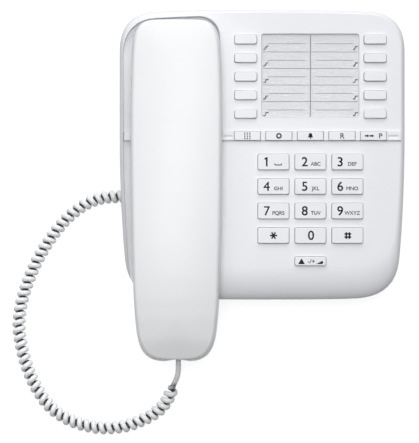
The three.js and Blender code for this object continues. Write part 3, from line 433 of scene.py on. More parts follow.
# Points from the handset to the base, in mm on the table, with y from the middle of the base.
HANDSET_LEAD = [
    (-50.5, -121.15, 18.1), (-50.5, -124.4, 17.6), (-50.6, -128, 16), (-51.1, -131.2, 14.1),
    (-52.2, -134, 11.9),
]
COIL_ROUTE = [
    (-52.35, -134.25, 11.7), (-53.5, -136.6, 10), (-54.9, -140.2, 8.3), (-57.3, -145.2, 6.4),
    (-60.9, -150, 5), (-65.8, -153.9, 4.3), (-72.1, -157.2, 4.2), (-80, -160.3, 4.2),
    (-88.5, -161.8, 4.2), (-97, -162.1, 4.2), (-105.5, -160.9, 4.2), (-114, -158.4, 4.2),
    (-121.9, -154.5, 4.2), (-129.3, -148.5, 4.2), (-135.5, -140.3, 4.2), (-140.5, -130.9, 4.2),
    (-144.2, -121.2, 4.2), (-146.8, -111.1, 4.2), (-148.2, -100.4, 4.2), (-147.4, -89.3, 4.2),
    (-144.8, -78.3, 4.2), (-141, -67.5, 4.2), (-135.9, -56.7, 4.2), (-129.9, -46.8, 4.2),
    (-122.6, -37.1, 4.2), (-114.1, -29, 4.2), (-104.9, -23.4, 4.2), (-95.6, -20.8, 4.2),
    (-87.3, -20.4, 4.2), (-78, -20.5, 4.2), (-71, -20.5, 4.25),
]
BASE_LEAD = [
    (-70.7, -20.5, 4.25), (-68.7, -20.5, 4.4), (-66, -20.5, 5.7), (-63, -20.5, 8), (-60, -20.5, 9.9),
    (-57.6, -20.5, 10.4), (-55.3, -20.5, 10.4),
]


def smooth_line(points, steps=24):
    """Points in metres along a smooth curve through points in mm."""
    bpy.ops.curve.primitive_bezier_curve_add()
    line = bpy.context.object
    spline = line.data.splines[0]
    spline.bezier_points.add(len(points) - 2)
    line.data.resolution_u = steps
    for knot, (x, y, z) in zip(spline.bezier_points, points):
        knot.co = Vector((x, y + TABLE_SHIFT, z)) * MM
        knot.handle_left_type = knot.handle_right_type = "AUTO"
    bpy.ops.object.convert(target="MESH")
    places = [vertex.co.copy() for vertex in line.data.vertices]
    bpy.data.objects.remove(line)
    return places


def length_of(places):
    return sum((b - a).length for a, b in zip(places, places[1:]))


def walk(places, stops):
    """The place and the direction at each stop, in metres along a line of places."""
    found = []
    travelled, n = 0, 0
    for stop in stops:
        while n < len(places) - 2 and travelled + (places[n + 1] - places[n]).length < stop:
            travelled += (places[n + 1] - places[n]).length
            n += 1
        along = (places[n + 1] - places[n]).normalized()
        found.append((places[n] + along * (stop - travelled), along))
    return found


# %% Wind the curls
route = smooth_line(COIL_ROUTE)
route_length = length_of(route)
straight_end = CABLE * MM
wound = route_length - 2 * straight_end
curls = round(wound / (CURL_PITCH * MM))
steps = curls * CURL_STEPS
stops = [straight_end + wound * n / steps for n in range(steps + 1)]
helix = []
for turn, (place, along) in enumerate(walk(route, stops)):
    opened = min(min(turn, steps - turn) / CURL_STEPS, 1)
    radius = COIL_RADIUS * MM * opened * opened * (3 - 2 * opened)  # the first and last curls open slowly
    side = Vector((0, 0, 1)).cross(along).normalized()
    top = along.cross(side)
    angle = 2 * math.pi * turn / CURL_STEPS
    helix.append(place + (side * math.cos(angle) + top * math.sin(angle)) * radius)
cable_line = smooth_line(HANDSET_LEAD, 6) + helix + smooth_line(BASE_LEAD, 6)
cable_line.reverse()

# %% Draw the cable along the helix
bpy.ops.curve.primitive_nurbs_path_add()
cord = bpy.context.object
cord.name = "curly_cord"
cord.data.splines.clear()
spline = cord.data.splines.new("POLY")
spline.points.add(len(cable_line) - 1)
for point, place in zip(spline.points, cable_line):
    point.co = (*place, 1)
cord.data.bevel_depth = CABLE / 2 * MM
cord.data.bevel_resolution = CABLE_SIDES_SETTING
cord.data.use_fill_caps = True
cord.data.twist_mode = "MINIMUM"
bpy.ops.object.convert(target="MESH")
bpy.ops.object.mode_set(mode="EDIT")
bpy.ops.mesh.select_all(action="SELECT")
bpy.ops.mesh.remove_doubles(threshold=0.001 * MM)  # closes the two ends
bpy.ops.object.mode_set(mode="OBJECT")
bpy.ops.object.shade_smooth()
cord.data.materials.clear()
cord.data.materials.append(sheath_pvc)
print("cord:", len(cord.data.vertices), "points")

# %% [markdown]
# Hardly any light comes to the side of the cable that faces the inside of the coil, so shade is painted
# there.
# Each point of the mesh gets a number that says how much painted shade it gets, from its distance to the line
# that the coil is wound round, and the sheath's material reads that number and darkens its colour.

# %% Paint shade on the inner side of the coil
LIT_FROM, DARK_WITHIN = 0.35, 1.2  # mm: lit this far outside the coil's radius, and dark this far inwards
LIT_CURLS = 0.6  # at each end

middle_line = KDTree(len(route))
for n, place in enumerate(route):
    middle_line.insert(place, n)
middle_line.balance()
# How much painted shade each point of the sheath gets.
painted_coil_shade = cord.data.attributes.new("painted_coil_shade", "FLOAT", "POINT")
for vertex, value in zip(cord.data.vertices, painted_coil_shade.data):
    place, n, reach = middle_line.find(vertex.co)
    from_end = min(n, len(route) - n) / len(route) * route_length - straight_end
    curls_away = from_end / (CURL_PITCH * MM) - LIT_CURLS
    inwards = (COIL_RADIUS + LIT_FROM - reach / MM) / DARK_WITHIN
    value.value = min(max(inwards, 0), 1) * min(max(curls_away, 0), 1)
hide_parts("cord_lead_base", "cord_coil", "cord_lead_handset")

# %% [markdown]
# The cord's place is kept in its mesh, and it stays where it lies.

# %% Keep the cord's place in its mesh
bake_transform(cord)

# %% [markdown]
# ## Helpers for modelling
#
# The pieces below are modelled as by hand: a loop of edges is drawn or a primitive is added, and it is
# shaped in edit mode with Blender's own operators. An operator works on what is selected, so these
# helpers select first: `only` for objects, `edit` for the parts of a mesh.

# %% Select and apply
def only(*things):
    """Select these objects and no others, in object mode."""
    if bpy.context.mode != "OBJECT":
        bpy.ops.object.mode_set(mode="OBJECT")
    bpy.ops.object.select_all(action="DESELECT")
    for thing in things:
        thing.select_set(True)
    bpy.context.view_layer.objects.active = things[0]


def edit(piece, kind, test=None):
    """Open a piece in edit mode and select its points, edges or faces: all, or those that pass a test."""
    only(piece)
    bpy.ops.object.mode_set(mode="EDIT")
    bpy.ops.mesh.select_mode(type=kind)
    bpy.ops.mesh.select_all(action="DESELECT")
    shape = bmesh.from_edit_mesh(piece.data)
    shape.normal_update()
    parts = {"VERT": shape.verts, "EDGE": shape.edges, "FACE": shape.faces}[kind]
    for part in parts:
        if test is None or test(part):
            part.select_set(True)
    shape.select_flush_mode()
    bmesh.update_edit_mesh(piece.data)


def modify(piece, kind, **settings):
    """Add a modifier, set it and apply it."""
    only(piece)
    bpy.ops.object.modifier_add(type=kind)
    modifier = piece.modifiers[-1]
    for name, value in settings.items():
        setattr(modifier, name, value)
    bpy.ops.object.modifier_apply(modifier=modifier.name)
    return piece


def merge(piece, distance=0.003):
    """Merge points that fell together, so that the mesh stays closed."""
    edit(piece, "VERT")
    bpy.ops.mesh.remove_doubles(threshold=distance * MM)
    bpy.ops.mesh.dissolve_degenerate(threshold=distance / 2 * MM)
    bpy.ops.object.mode_set(mode="OBJECT")
    return piece


def combine(piece, operation, *tools):
    """Join tools to a piece, cut them from it or keep what they share; the tools are used up."""
    for tool in tools:
        modify(piece, "BOOLEAN", object=tool, operation=operation, solver="EXACT")
        bpy.data.objects.remove(tool)
        merge(piece)
    return piece


def together(first, *others):
    """Several meshes as one object."""
    if others:
        only(first, *others)
        bpy.ops.object.join()
    return first


def cut(piece, cutters):
    """Cut from a piece, in one go, cutters that don't meet each other."""
    return combine(piece, "DIFFERENCE", together(*cutters))


def smooth(piece, angle=30):
    """Smooth shading that keeps edges sharper than the angle, and keeps large faces flat."""
    only(piece)
    bpy.ops.object.shade_smooth_by_angle(angle=math.radians(angle))
    return modify(piece, "WEIGHTED_NORMAL", weight=100, keep_sharp=True)


# %% [markdown]
# A moulded piece is mostly a stack: the same outline at one height after another, a little wider or
# narrower each time. So one helper raises a loop of edges through a list of levels and closes both ends.
# The loop itself is a drawn outline, a rectangle with round corners or a circle.

# %% Raise an outline through levels
def climb(loop, levels):
    """Raise a loop of edges through levels, each (height, width, length) and, where it moves, (x, y)."""
    xs = [vertex.co.x for vertex in loop.data.vertices]
    ys = [vertex.co.y for vertex in loop.data.vertices]
    size = Vector((max(xs) - min(xs), max(ys) - min(ys)))
    middle = Vector(((max(xs) + min(xs)) / 2, (max(ys) + min(ys)) / 2, loop.data.vertices[0].co.z))
    edit(loop, "EDGE")
    for n, (height, width, length, *moved) in enumerate(levels):
        if n:
            bpy.ops.mesh.extrude_region_move()
        place = Vector((*(value * MM for value in moved), height * MM)) if moved else Vector(
            (middle.x, middle.y, height * MM))
        bpy.ops.transform.translate(value=place - middle)
        new_size = Vector((width, length)) * MM
        bpy.ops.transform.resize(value=(new_size.x / size.x, new_size.y / size.y, 1), center_override=place)
        size, middle = new_size, place
    bpy.ops.mesh.select_all(action="SELECT")
    bpy.ops.mesh.remove_doubles(threshold=0.003 * MM)
    bpy.ops.mesh.fill_holes(sides=0)
    bpy.ops.mesh.normals_make_consistent(inside=False)
    bpy.ops.object.mode_set(mode="OBJECT")
    return loop


def quarter_turn(steps):
    """Angles from nothing to a right angle."""
    return [n / steps * math.pi / 2 for n in range(steps + 1)]


def rolled(width, length, top, roll, steps=4, inward=1):
    """Levels of a rounded upper edge, from its start up to the top face."""
    return [(
        top - roll + roll * math.sin(turn),
        width - 2 * inward * roll * (1 - math.cos(turn)),
        length - 2 * inward * roll * (1 - math.cos(turn)),
    ) for turn in quarter_turn(steps)]


def flared(width, length, bottom, face, lip, above=2, steps=4):
    """Levels of a cutter that opens out by a lip where it comes through a face."""
    levels = [(bottom, width, length)] + rolled(width, length, face, lip, steps, inward=-1)
    return levels + [(face + above, width + 2 * lip, length + 2 * lip)]


def rounded(name, x, y, width, length, corner, levels, segments=6):
    """A stack with the plan of a rectangle with round corners."""
    only(floor)
    bpy.ops.mesh.primitive_plane_add(size=1, location=(x * MM, y * MM, 0))
    piece = bpy.context.object
    piece.name = name
    piece.scale = (width * MM, length * MM, 1)
    bpy.ops.object.transform_apply()
    edit(piece, "VERT")
    bpy.ops.mesh.bevel(offset=corner * MM, segments=segments, affect="VERTICES")
    bpy.ops.mesh.select_all(action="SELECT")
    bpy.ops.mesh.delete(type="ONLY_FACE")
    return climb(piece, levels)


def turned(name, x, y, levels, sides=48):
    """A round stack; its levels are (height, radius)."""
    only(floor)
    bpy.ops.mesh.primitive_circle_add(vertices=sides, radius=MM, location=(x * MM, y * MM, 0))
    piece = bpy.context.object
    piece.name = name
    bpy.ops.object.transform_apply()
    return climb(piece, [(height, 2 * radius, 2 * radius) for height, radius in levels])


def rod(name, x, y, radius, bottom, top, sides=32):
    """A straight round form."""
    return turned(name, x, y, [(bottom, radius), (top, radius)], sides)


# %% [markdown]
# The base and the handset have drawn outlines. They are the same left and right, so only the right half
# is given, from bottom to top, as Bezier stretches: two handles and an end. The left half is its mirror
# image.

# %% Draw an outline
def mirrored(start, stretches):
    """Knots of a whole outline, each (handle before, point, handle after), from its right half."""
    def flip(point):
        return (-point[0], point[1])

    knots = [(flip(stretches[0][0]), start, stretches[0][0])]
    for n, (_, before, end) in enumerate(stretches):
        last = n == len(stretches) - 1
        knots.append((before, end, flip(before) if last else stretches[n + 1][0]))
    left = [tuple(map(flip, reversed(knot))) for knot in knots[-2:0:-1]]
    return knots + left


def draw(name, knots, steps=10):
    """A loop of edges through knots in mm."""
    only(floor)
    bpy.ops.curve.primitive_bezier_curve_add()
    outline = bpy.context.object
    outline.name = name
    spline = outline.data.splines[0]
    spline.bezier_points.add(len(knots) - 2)
    spline.use_cyclic_u = True
    outline.data.resolution_u = steps
    for knot, (before, point, after) in zip(spline.bezier_points, knots):
        knot.handle_left_type = knot.handle_right_type = "FREE"
        knot.co = Vector((*point, 0)) * MM
        knot.handle_left = Vector((*before, 0)) * MM
        knot.handle_right = Vector((*after, 0)) * MM
    bpy.ops.object.convert(target="MESH")
    edit(outline, "VERT")
    bpy.ops.mesh.remove_doubles(threshold=0.01 * MM)
    bpy.ops.object.mode_set(mode="OBJECT")
    return outline


# %% [markdown]
# A finished piece is tilted into place, and its place is kept in its mesh. It then gets its finish, rides
# on a body of the frame and stands for that body's plain CAD nodes. The helper prints how far the new
# piece's box is from theirs, which is the quickest way to see a slip.

# %% Seat a piece in the frame
def seat(piece, x=0.0, y=0.0, ground=FACE):
    """Move a piece from where it was modelled to its place on the phone: on its face, or on the table."""
    piece.matrix_world = ground @ Matrix.Translation(Vector((x, y, 0)) * MM)
    only(piece)
    bpy.ops.object.transform_apply()
    return piece


def settle(piece, body, slot, finish, *nodes):
    """Give a piece its finish and its place in the frame."""
    if not piece.data.materials:
        piece.data.materials.append(finish)
    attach(piece, body)
    if nodes:
        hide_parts(*nodes)
        corners = [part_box(node) for node in nodes]
        places = [vertex.co for vertex in piece.data.vertices]
        off = [
            max(abs(min(p[axis] for p in places) - min(low[axis] for low, _ in corners)),
                abs(max(p[axis] for p in places) - max(high[axis] for _, high in corners))) / MM
            for axis in range(3)
        ]
        print(f"{piece.name}: {len(places)} points, off its CAD box by", [round(d, 2) for d in off], "mm")
    return piece


# %% [markdown]
# ## The base's upper case
#
# The case is one moulding: a flat face with rolled edges, 2.2 mm thick. The outline could be traced by
# hand or built from arcs, but a Bezier outline holds its slow curves with the fewest points. Raised
# through levels that draw in along a quarter turn, it gives the roll, which is far wider at the front
# (20 mm) than at the sides and the top (about 3 mm). The same form, drawn in by the wall, is cut from it.

# %% The base's form
BASE_WIDTH, BASE_LENGTH = 172, 175
PARTING = -13  # the upper case ends here
EDGE_DEPTH = 7
SIDE_ROUND, TOP_ROUND, FRONT_ROUND = 3.2, 3, 20
CASE_WALL = 2.2
HALF_WIDTH, HALF_LENGTH = BASE_WIDTH / 2, BASE_LENGTH / 2

w, h = HALF_WIDTH, HALF_LENGTH
BASE_OUTLINE = (0, -h), [
    ((25, -h), (w - 44, -h + 0.1), (w - 33, -h + 0.5)),
    ((w - 16, -h + 0.5), (w - 5.5, -h + 7), (w - 3.4, -h + 22.5)),
    ((w - 1.8, -h + 37.5), (w, -20), (w, 10)),
    ((w, 25), (w, 45), (w, h - 24.5)),
    ((w, h - 11.5), (w - 6.5, h - 2.1), (w - 20, h - 1.3)),
    ((w - 36, h - 0.3), (25, h), (0, h)),
]


def base_form(name, inside=0.0, lift=0.0, bottom=PARTING, steps=10):
    """The base above its parting line, drawn in by a wall or lifted."""
    levels = [(bottom, BASE_WIDTH - 2 * inside, BASE_LENGTH - 2 * inside)]
    for turn in quarter_turn(steps):
        side, top, front = (r - (r - inside) * math.cos(turn) for r in (SIDE_ROUND, TOP_ROUND, FRONT_ROUND))
        height = -EDGE_DEPTH + (EDGE_DEPTH - inside) * math.sin(turn) + lift
        levels.append((height, BASE_WIDTH - 2 * side, BASE_LENGTH - top - front, 0, (front - top) / 2))
    return climb(draw(name, mirrored(*BASE_OUTLINE)), levels)


upper_case = base_form("upper_case_shell")
hollow = base_form("hollow", inside=CASE_WALL, bottom=PARTING - 1)
print("base form:", len(upper_case.data.vertices), "points")

# %% [markdown]
# The cradle is a trough, open at the front. Its left side follows the base's own outline a little way
# in, which leaves the thin rim beside the groove, and its right wall is straight and hides under the
# handset's edge. In it lie a deeper pocket for the ear end and a low ridge for the handle.

# %% The cradle and its pocket
HANDSET_X = -51.5  # middle of the handset
HANDSET_TOP = HALF_LENGTH - 7.1
RIM, TOP_RIM = 2.35, 4.8
CRADLE_RIGHT = -25.75
CRADLE_FRONT = -120  # past the base's front edge, as the trough is open there
CRADLE_DEPTH, CRADLE_CORNER, CRADLE_WALL, CRADLE_FLOOR = 5, 12, 1.8, 2
POCKET_DEPTH = 12.3
LIP = 0.5  # soft edge round an opening


def cradle_form(name, grow, bottom, top, lip=0.0):
    """The trough from bottom to top, wider by grow on each side, with a flared lip."""
    def drawn_in(point):
        across = (HALF_WIDTH - RIM + grow) / HALF_WIDTH
        along = (HALF_LENGTH - TOP_RIM + grow if point[1] > 0 else HALF_LENGTH + CRADLE_DEPTH) / HALF_LENGTH
        return (point[0] * across, point[1] * along)

    right, corner = CRADLE_RIGHT + grow, CRADLE_CORNER + grow
    top_edge = HALF_LENGTH - TOP_RIM + grow
    left_side = mirrored(*BASE_OUTLINE)[len(BASE_OUTLINE[1]) + 1:]
    knots = [
        [(right, CRADLE_FRONT)] * 3,
        [(right, top_edge - corner)] * 2 + [(right, top_edge - corner * 0.45)],
        [(right - corner * 0.45, top_edge)] + [(right - corner, top_edge)] * 2,
    ] + [[drawn_in(point) for point in knot] for knot in left_side]
    outline = draw(name, knots)
    xs, ys = ([vertex.co[axis] / MM for vertex in outline.data.vertices] for axis in (0, 1))
    size = (max(xs) - min(xs), max(ys) - min(ys))
    levels = flared(*size, bottom, 0, lip, above=top) if lip else [(bottom, *size), (top, *size)]
    return climb(outline, levels)


POCKET_OUTLINE = (0, -54), [
    ((5, -54), (8, -54), (14.5, -54)),
    ((20, -54), (24.5, -49.5), (24.5, -44)),
    ((24.5, -35), (24.2, -24), (23.6, -17)),
    ((22.9, -8.4), (20.5, -3.8), (13.6, -3.3)),
    ((9, -3.1), (5, -3), (0, -3)),
]
POCKET_SIZE = (49, 51)
pocket_middle = (HANDSET_X, HANDSET_TOP - 28.5)


def pocket_form(name, grow, bottom, top, lip=0.0):
    """The pocket for the ear end."""
    size = [side + 2 * grow for side in POCKET_SIZE]
    levels = [(bottom, *size), (top, *size)]
    if lip:
        levels = flared(*size, bottom, -CRADLE_DEPTH, lip, above=top + CRADLE_DEPTH)
    return climb(draw(name, mirrored(*POCKET_OUTLINE)), [(*level, *pocket_middle) for level in levels])


combine(
    hollow, "DIFFERENCE",
    cradle_form("cradle block", CRADLE_WALL, -CRADLE_DEPTH - CRADLE_FLOOR, 1),
    pocket_form("pocket block", CRADLE_WALL, -POCKET_DEPTH - CRADLE_FLOOR, 1),
)
combine(upper_case, "DIFFERENCE", hollow)
combine(
    upper_case, "DIFFERENCE",
    cradle_form("cradle", 0, -CRADLE_DEPTH, 5, LIP),
    pocket_form("pocket", 0, -POCKET_DEPTH, 0, LIP),
)
print("case with its cradle:", len(upper_case.data.polygons), "faces")

# %% [markdown]
# ## Where the keys are
#
# Every key has a cap in an opening of its own, with a gap of a quarter of a millimetre all round. Their
# places are written once here, because the openings, the caps and the strip all use them.

# %% The keys' places
PANEL_X = 28.775  # middle of the keys
DIAL_KEY, DIAL_PITCH, DIAL_TOP = (18.65, 9.45), (22.17, 14.7), -4.69
VOLUME_KEY, VOLUME_Y = (18.65, 5.35), -64.25
MEMORY_KEY, MEMORY_PITCH, MEMORY_TOP = (13.4, 5.4), (77.66, 11.14), 68.77
FUNCTION_KEY, FUNCTION_PITCH, FUNCTION_Y = (15.7, 5.45), 18.92, 10.92
CORNERS = {DIAL_KEY: 1.0, VOLUME_KEY: 1.2, MEMORY_KEY: 1.3, FUNCTION_KEY: 0.5}
KEY_GAP, OPENING_BOTTOM = 0.25, -6

DIAL_NAMES = ["1", "2", "3", "4", "5", "6", "7", "8", "9", "star", "0", "hash"]
FUNCTION_NAMES = ["menu", "mute", "bell", "recall", "redial"]
keys = {}  # name: (x, y, size)
for n, label in enumerate(DIAL_NAMES):
    x = PANEL_X + (n % 3 - 1) * DIAL_PITCH[0]
    keys["key_" + label] = (x, DIAL_TOP - n // 3 * DIAL_PITCH[1], DIAL_KEY)
for n, label in enumerate(FUNCTION_NAMES):
    keys["key_" + label] = (PANEL_X + (n - 2) * FUNCTION_PITCH, FUNCTION_Y, FUNCTION_KEY)
for n in range(10):
    x = PANEL_X + (-0.5 if n < 5 else 0.5) * MEMORY_PITCH[0]
    keys[f"key_memory_{n + 1}"] = (x, MEMORY_TOP - n % 5 * MEMORY_PITCH[1], MEMORY_KEY)
keys["key_volume"] = (PANEL_X, VOLUME_Y, VOLUME_KEY)
strip_keys = [key for key in keys.values() if key[2] is FUNCTION_KEY]
face_keys = [key for key in keys.values() if key[2] is not FUNCTION_KEY]
print(len(strip_keys), "keys on the strip and", len(face_keys), "on the face")


def key_opening(x, y, size, face=0.0, lip=0.12):
    """A cutter for a key's opening, which flares at the face."""
    room = [side + 2 * KEY_GAP for side in size]
    levels = flared(*room, OPENING_BOTTOM, face, lip, steps=3)
    return rounded("opening", x, y, *room, CORNERS[size] + KEY_GAP, levels)


# %% [markdown]
# The case is cut last for everything that goes through it: the keys, the slot of the function strip,
# the shallow recess of the index card and the hole of the hook plunger. Each cutter flares where it meets
# the face, which leaves the small soft lip that a mould has and that catches the light.

# %% Openings in the upper case
REST_RIDGE, REST_TOP, REST_Y = (36, 6), -2.3, -37
CARD_SIZE, CARD_Y, CARD_RECESS, CARD_CORNER, CARD_LIP = (58.47, 50.26), 47.03, 2, 1.5, 0.4
STRIP_HEIGHT, STRIP_RISE = 5.5, 1
STRIP_END = HALF_WIDTH - 2.85
PLUNGER_SIZE, PLUNGER_Y, PLUNGER_LIP = (8, 5), 19.135, 0.3
RUNNING_GAP, TIGHT_GAP, SHADOW_GAP = 0.3, 0.06, 0.4

ridge = [(-6, *REST_RIDGE)] + rolled(*REST_RIDGE, REST_TOP, 1)
combine(upper_case, "UNION", rounded("rest", HANDSET_X, REST_Y, *REST_RIDGE, 2, ridge))
cut(upper_case, [key_opening(*key) for key in face_keys])
card_levels = flared(*CARD_SIZE, -CARD_RECESS, 0, CARD_LIP)
cut(upper_case, [rounded("card recess", PANEL_X, CARD_Y, *CARD_SIZE, CARD_CORNER, card_levels)])

slot_start, slot_end = CRADLE_RIGHT - 1, STRIP_END + TIGHT_GAP
slot_size = (slot_end - slot_start, STRIP_HEIGHT + TIGHT_GAP + SHADOW_GAP)
slot_middle = ((slot_start + slot_end) / 2, FUNCTION_Y + (TIGHT_GAP - SHADOW_GAP) / 2)  # open below the strip
slot_levels = [(-CRADLE_DEPTH + 0.02, *slot_size), (6, *slot_size)]
cut(upper_case, [rounded("strip slot", *slot_middle, *slot_size, 0.3, slot_levels, segments=2)])
cut(upper_case, [key_opening(*key, lip=0.1) for key in strip_keys])

hole = [side + 2 * RUNNING_GAP for side in PLUNGER_SIZE]
hole_levels = flared(*hole, -8, -CRADLE_DEPTH, PLUNGER_LIP, above=1)
cut(upper_case, [rounded("plunger hole", HANDSET_X, PLUNGER_Y, *hole, 1, hole_levels)])
smooth(upper_case)
seat(upper_case)
settle(upper_case, "root", "case_white", case_abs, "upper_case")

# %% [markdown]
# ## The function strip
#
# The strip is its own moulding. It stands a millimetre above the face, follows the roll of the base's
# right side, and runs on as a low rest across the cradle, where its end shows in the groove beside the
# handset. Its upper surface is the base's form, lifted by that millimetre and cut to a bar, so that the
# two rolls stay parallel. The long edges are bevelled, because their light upper edge and the dark line
# under the lower one are what shows of the strip from a step away. Beside the keys, a shallow groove runs
# along each end.

# %% Model the strip
STRIP_BOTTOM, STRIP_FLANGE_TOP, STRIP_FLANGE = -3.7, -2.5, 1.5  # and how far the flange stands out
STRIP_BEVEL = 0.45
GROOVE_WIDTH, GROOVE_Y, GROOVE_DEPTH = 2.2, -0.5, 0.45
strip_start = CRADLE_RIGHT + CRADLE_WALL + 0.05


def bar(name, x0, x1, length, bottom, top, roll=0.3):
    """A bar along the strip, from x0 to x1, with soft upper edges."""
    size = (x1 - x0, length)
    return rounded(name, (x0 + x1) / 2, FUNCTION_Y, *size, 0.6,
                   [(bottom, *size)] + rolled(*size, top, roll, steps=3), segments=3)


def long_upper_edge(part):
    """Whether an edge is one of the two that run along the top of the strip."""
    facing = [abs(face.normal.y) for face in part.link_faces]
    lowest = min(point.co.z for point in part.verts)
    across = abs(part.verts[0].co.x - part.verts[1].co.x)
    return (len(facing) == 2 and max(facing) > 0.99 and min(facing) < 0.5
            and lowest > (STRIP_BOTTOM + 0.5) * MM and across > 0.2 * MM)


function_strip = bar("function_strip", strip_start, STRIP_END, STRIP_HEIGHT, STRIP_BOTTOM, 4)
combine(function_strip, "INTERSECT", base_form("raised form", lift=STRIP_RISE))
edit(function_strip, "EDGE", long_upper_edge)
bpy.ops.mesh.bevel(offset=STRIP_BEVEL * MM, segments=3, affect="EDGES")
bpy.ops.object.mode_set(mode="OBJECT")
combine(
    function_strip, "UNION",
    bar("rest", -HALF_WIDTH + RIM + RUNNING_GAP, CRADLE_RIGHT - 0.5, STRIP_HEIGHT, -4.7, REST_TOP, 0.6),
    bar("neck", CRADLE_RIGHT - 1.4, strip_start + 1, STRIP_HEIGHT - 0.1, -3.6, STRIP_FLANGE_TOP - 0.05, 0.1),
    bar("flange", strip_start + 0.5, STRIP_END - CASE_WALL, STRIP_HEIGHT + 2 * STRIP_FLANGE, STRIP_BOTTOM,
        STRIP_FLANGE_TOP, 0.1),
)

# %% Cut the strip's openings and grooves
cut(function_strip, [key_opening(*key, STRIP_RISE, 0.08) for key in strip_keys])
key_middles = [x for x, y, size in strip_keys]
beside_keys = FUNCTION_KEY[0] / 2 + 0.8
for x0, x1 in ((strip_start + 0.6, min(key_middles) - beside_keys),
               (max(key_middles) + beside_keys, STRIP_END - 1.5)):
    groove_size = (x1 - x0, GROOVE_WIDTH)
    groove_levels = [(STRIP_RISE - GROOVE_DEPTH, x1 - x0 - 1, 0.1), (STRIP_RISE, *groove_size),
                     (STRIP_RISE + 1, *groove_size)]
    cut(function_strip, [rounded(
        "groove", (x0 + x1) / 2, FUNCTION_Y + GROOVE_Y, *groove_size, 0.3, groove_levels, segments=3)])
smooth(function_strip, 15)
seat(function_strip)
settle(function_strip, "root", "case_white", case_abs, "function_bar")

# %% [markdown]
# ## Key caps
#
# A key is more than its cap: a flange under the face keeps it from falling out, and a stem presses the
# rubber mat. The mat's domes are stiff here, so each stem stays a key's travel above its dome, and a
# pressed key just reaches it. One key of each size is raised through its levels, from the stem to the
# rounded edge of its top, and the others are copies of it, each with its own mesh.

# %% Model one key of each size
STEM, STEM_END = (4.4, 3.4), -8.75
FLANGE, FLANGE_THICKNESS = 1, 1.2
KEY_TOP, KEY_ROLL = 1.6, 0.5
FLANGE_TOP = -CASE_WALL - RUNNING_GAP
LOW_FLANGE_TOP = FLANGE_TOP - FLANGE_THICKNESS - RUNNING_GAP  # under the strip's own flange


def key_cap(name, size):
    """A key at the origin, from its stem to its top."""
    flange_top = LOW_FLANGE_TOP if size is FUNCTION_KEY else FLANGE_TOP
    flange = [side + 2 * FLANGE for side in size]
    levels = [(STEM_END, *STEM), (flange_top - FLANGE_THICKNESS, *STEM)]
    levels += [(flange_top - FLANGE_THICKNESS, *flange), (flange_top, *flange), (flange_top, *size)]
    cap = rounded(name, 0, 0, *size, CORNERS[size], levels + rolled(*size, KEY_TOP, KEY_ROLL, steps=5))
    smooth(cap, 40)
    cap.data.materials.append(key_abs)
    return cap


def copy_of(piece, name):
    """A copy of a piece, with a mesh of its own."""
    only(piece)
    bpy.ops.object.duplicate()
    twin = bpy.context.object
    twin.name = name
    return twin


patterns = {size: key_cap(f"pattern {size}", size) for size in CORNERS}
print("faces of a key:", {size: len(cap.data.polygons) for size, cap in patterns.items()})

# %% [markdown]
# ## Legends
#
# The figures and signs are pad-printed. Ink is thin, but it is a real film with an edge, so each legend
# is a closed mesh a few hundredths of a millimetre high. Letters and figures come from a text object with
# Blender's own font, which is turned into a mesh. It is set by the height of its capitals, and as the
# font is thin, the finished film is grown sideways. Signs are drawn from a few points each. The memory
# keys stay bare.

# %% Printing helpers
INK = 0.03  # of film above the surface, and as much in it


def film(mark, x, y, z, ink, bolder=0.0):
    """Give a flat mark the thickness and the colour of ink, and put it on a surface; bolder grows it."""
    mark.data.materials.clear()
    mark.data.materials.append(ink)
    only(mark)
    bpy.ops.object.transform_apply()
    mark.data.transform(Matrix.Translation(Vector((x, y, z - INK)) * MM))
    edit(mark, "FACE")
    bpy.ops.mesh.select_all(action="SELECT")
    bpy.ops.mesh.remove_doubles(threshold=0.002 * MM)
    bpy.ops.mesh.extrude_region_move(TRANSFORM_OT_translate={"value": (0, 0, 2 * INK * MM)})
    bpy.ops.mesh.select_all(action="SELECT")
    bpy.ops.mesh.normals_make_consistent(inside=False)
    if bolder:
        bpy.ops.transform.shrink_fatten(value=bolder * MM)
    bpy.ops.object.mode_set(mode="OBJECT")
    for vertex in mark.data.vertices:  # growing moved them up and down too
        vertex.co.z = (z + math.copysign(INK, vertex.co.z - z * MM)) * MM
    return mark


def words(text, size):
    """Flat letters in Blender's own font, with the middle of their base line at the origin."""
    only(floor)
    bpy.ops.object.text_add()
    made = bpy.context.object
    made.data.body = text
    made.data.size = size  # a thousand times too large, as very small letters don't fill cleanly
    made.data.align_x = "CENTER"
    made.data.resolution_u = 5
    bpy.ops.object.convert(target="MESH")
    made = bpy.context.object
    made.data.transform(Matrix.Scale(MM, 4))
    return made


def height_of(mark):
    heights = [vertex.co.y for vertex in mark.data.vertices]
    return (max(heights) - min(heights)) / MM


sample = words("H", 10)
CAPITAL = height_of(sample) / 10  # the height of a capital, as a share of the text's size
bpy.data.objects.remove(sample)
print("a capital is", round(CAPITAL, 3), "of the text's size")


def lettering(text, height):
    """Letters whose capitals have this height, centred on the origin."""
    made = words(text, height / CAPITAL)
    made.data.transform(Matrix.Translation((0, -height / 2 * MM, 0)))
    return made


def filled(outline):
    """An outline as one flat face."""
    edit(outline, "EDGE")
    bpy.ops.mesh.edge_face_add()
    bpy.ops.object.mode_set(mode="OBJECT")
    return outline


def shape(points):
    """A flat mark with straight edges."""
    return filled(draw("mark", [[point] * 3 for point in points], steps=1))


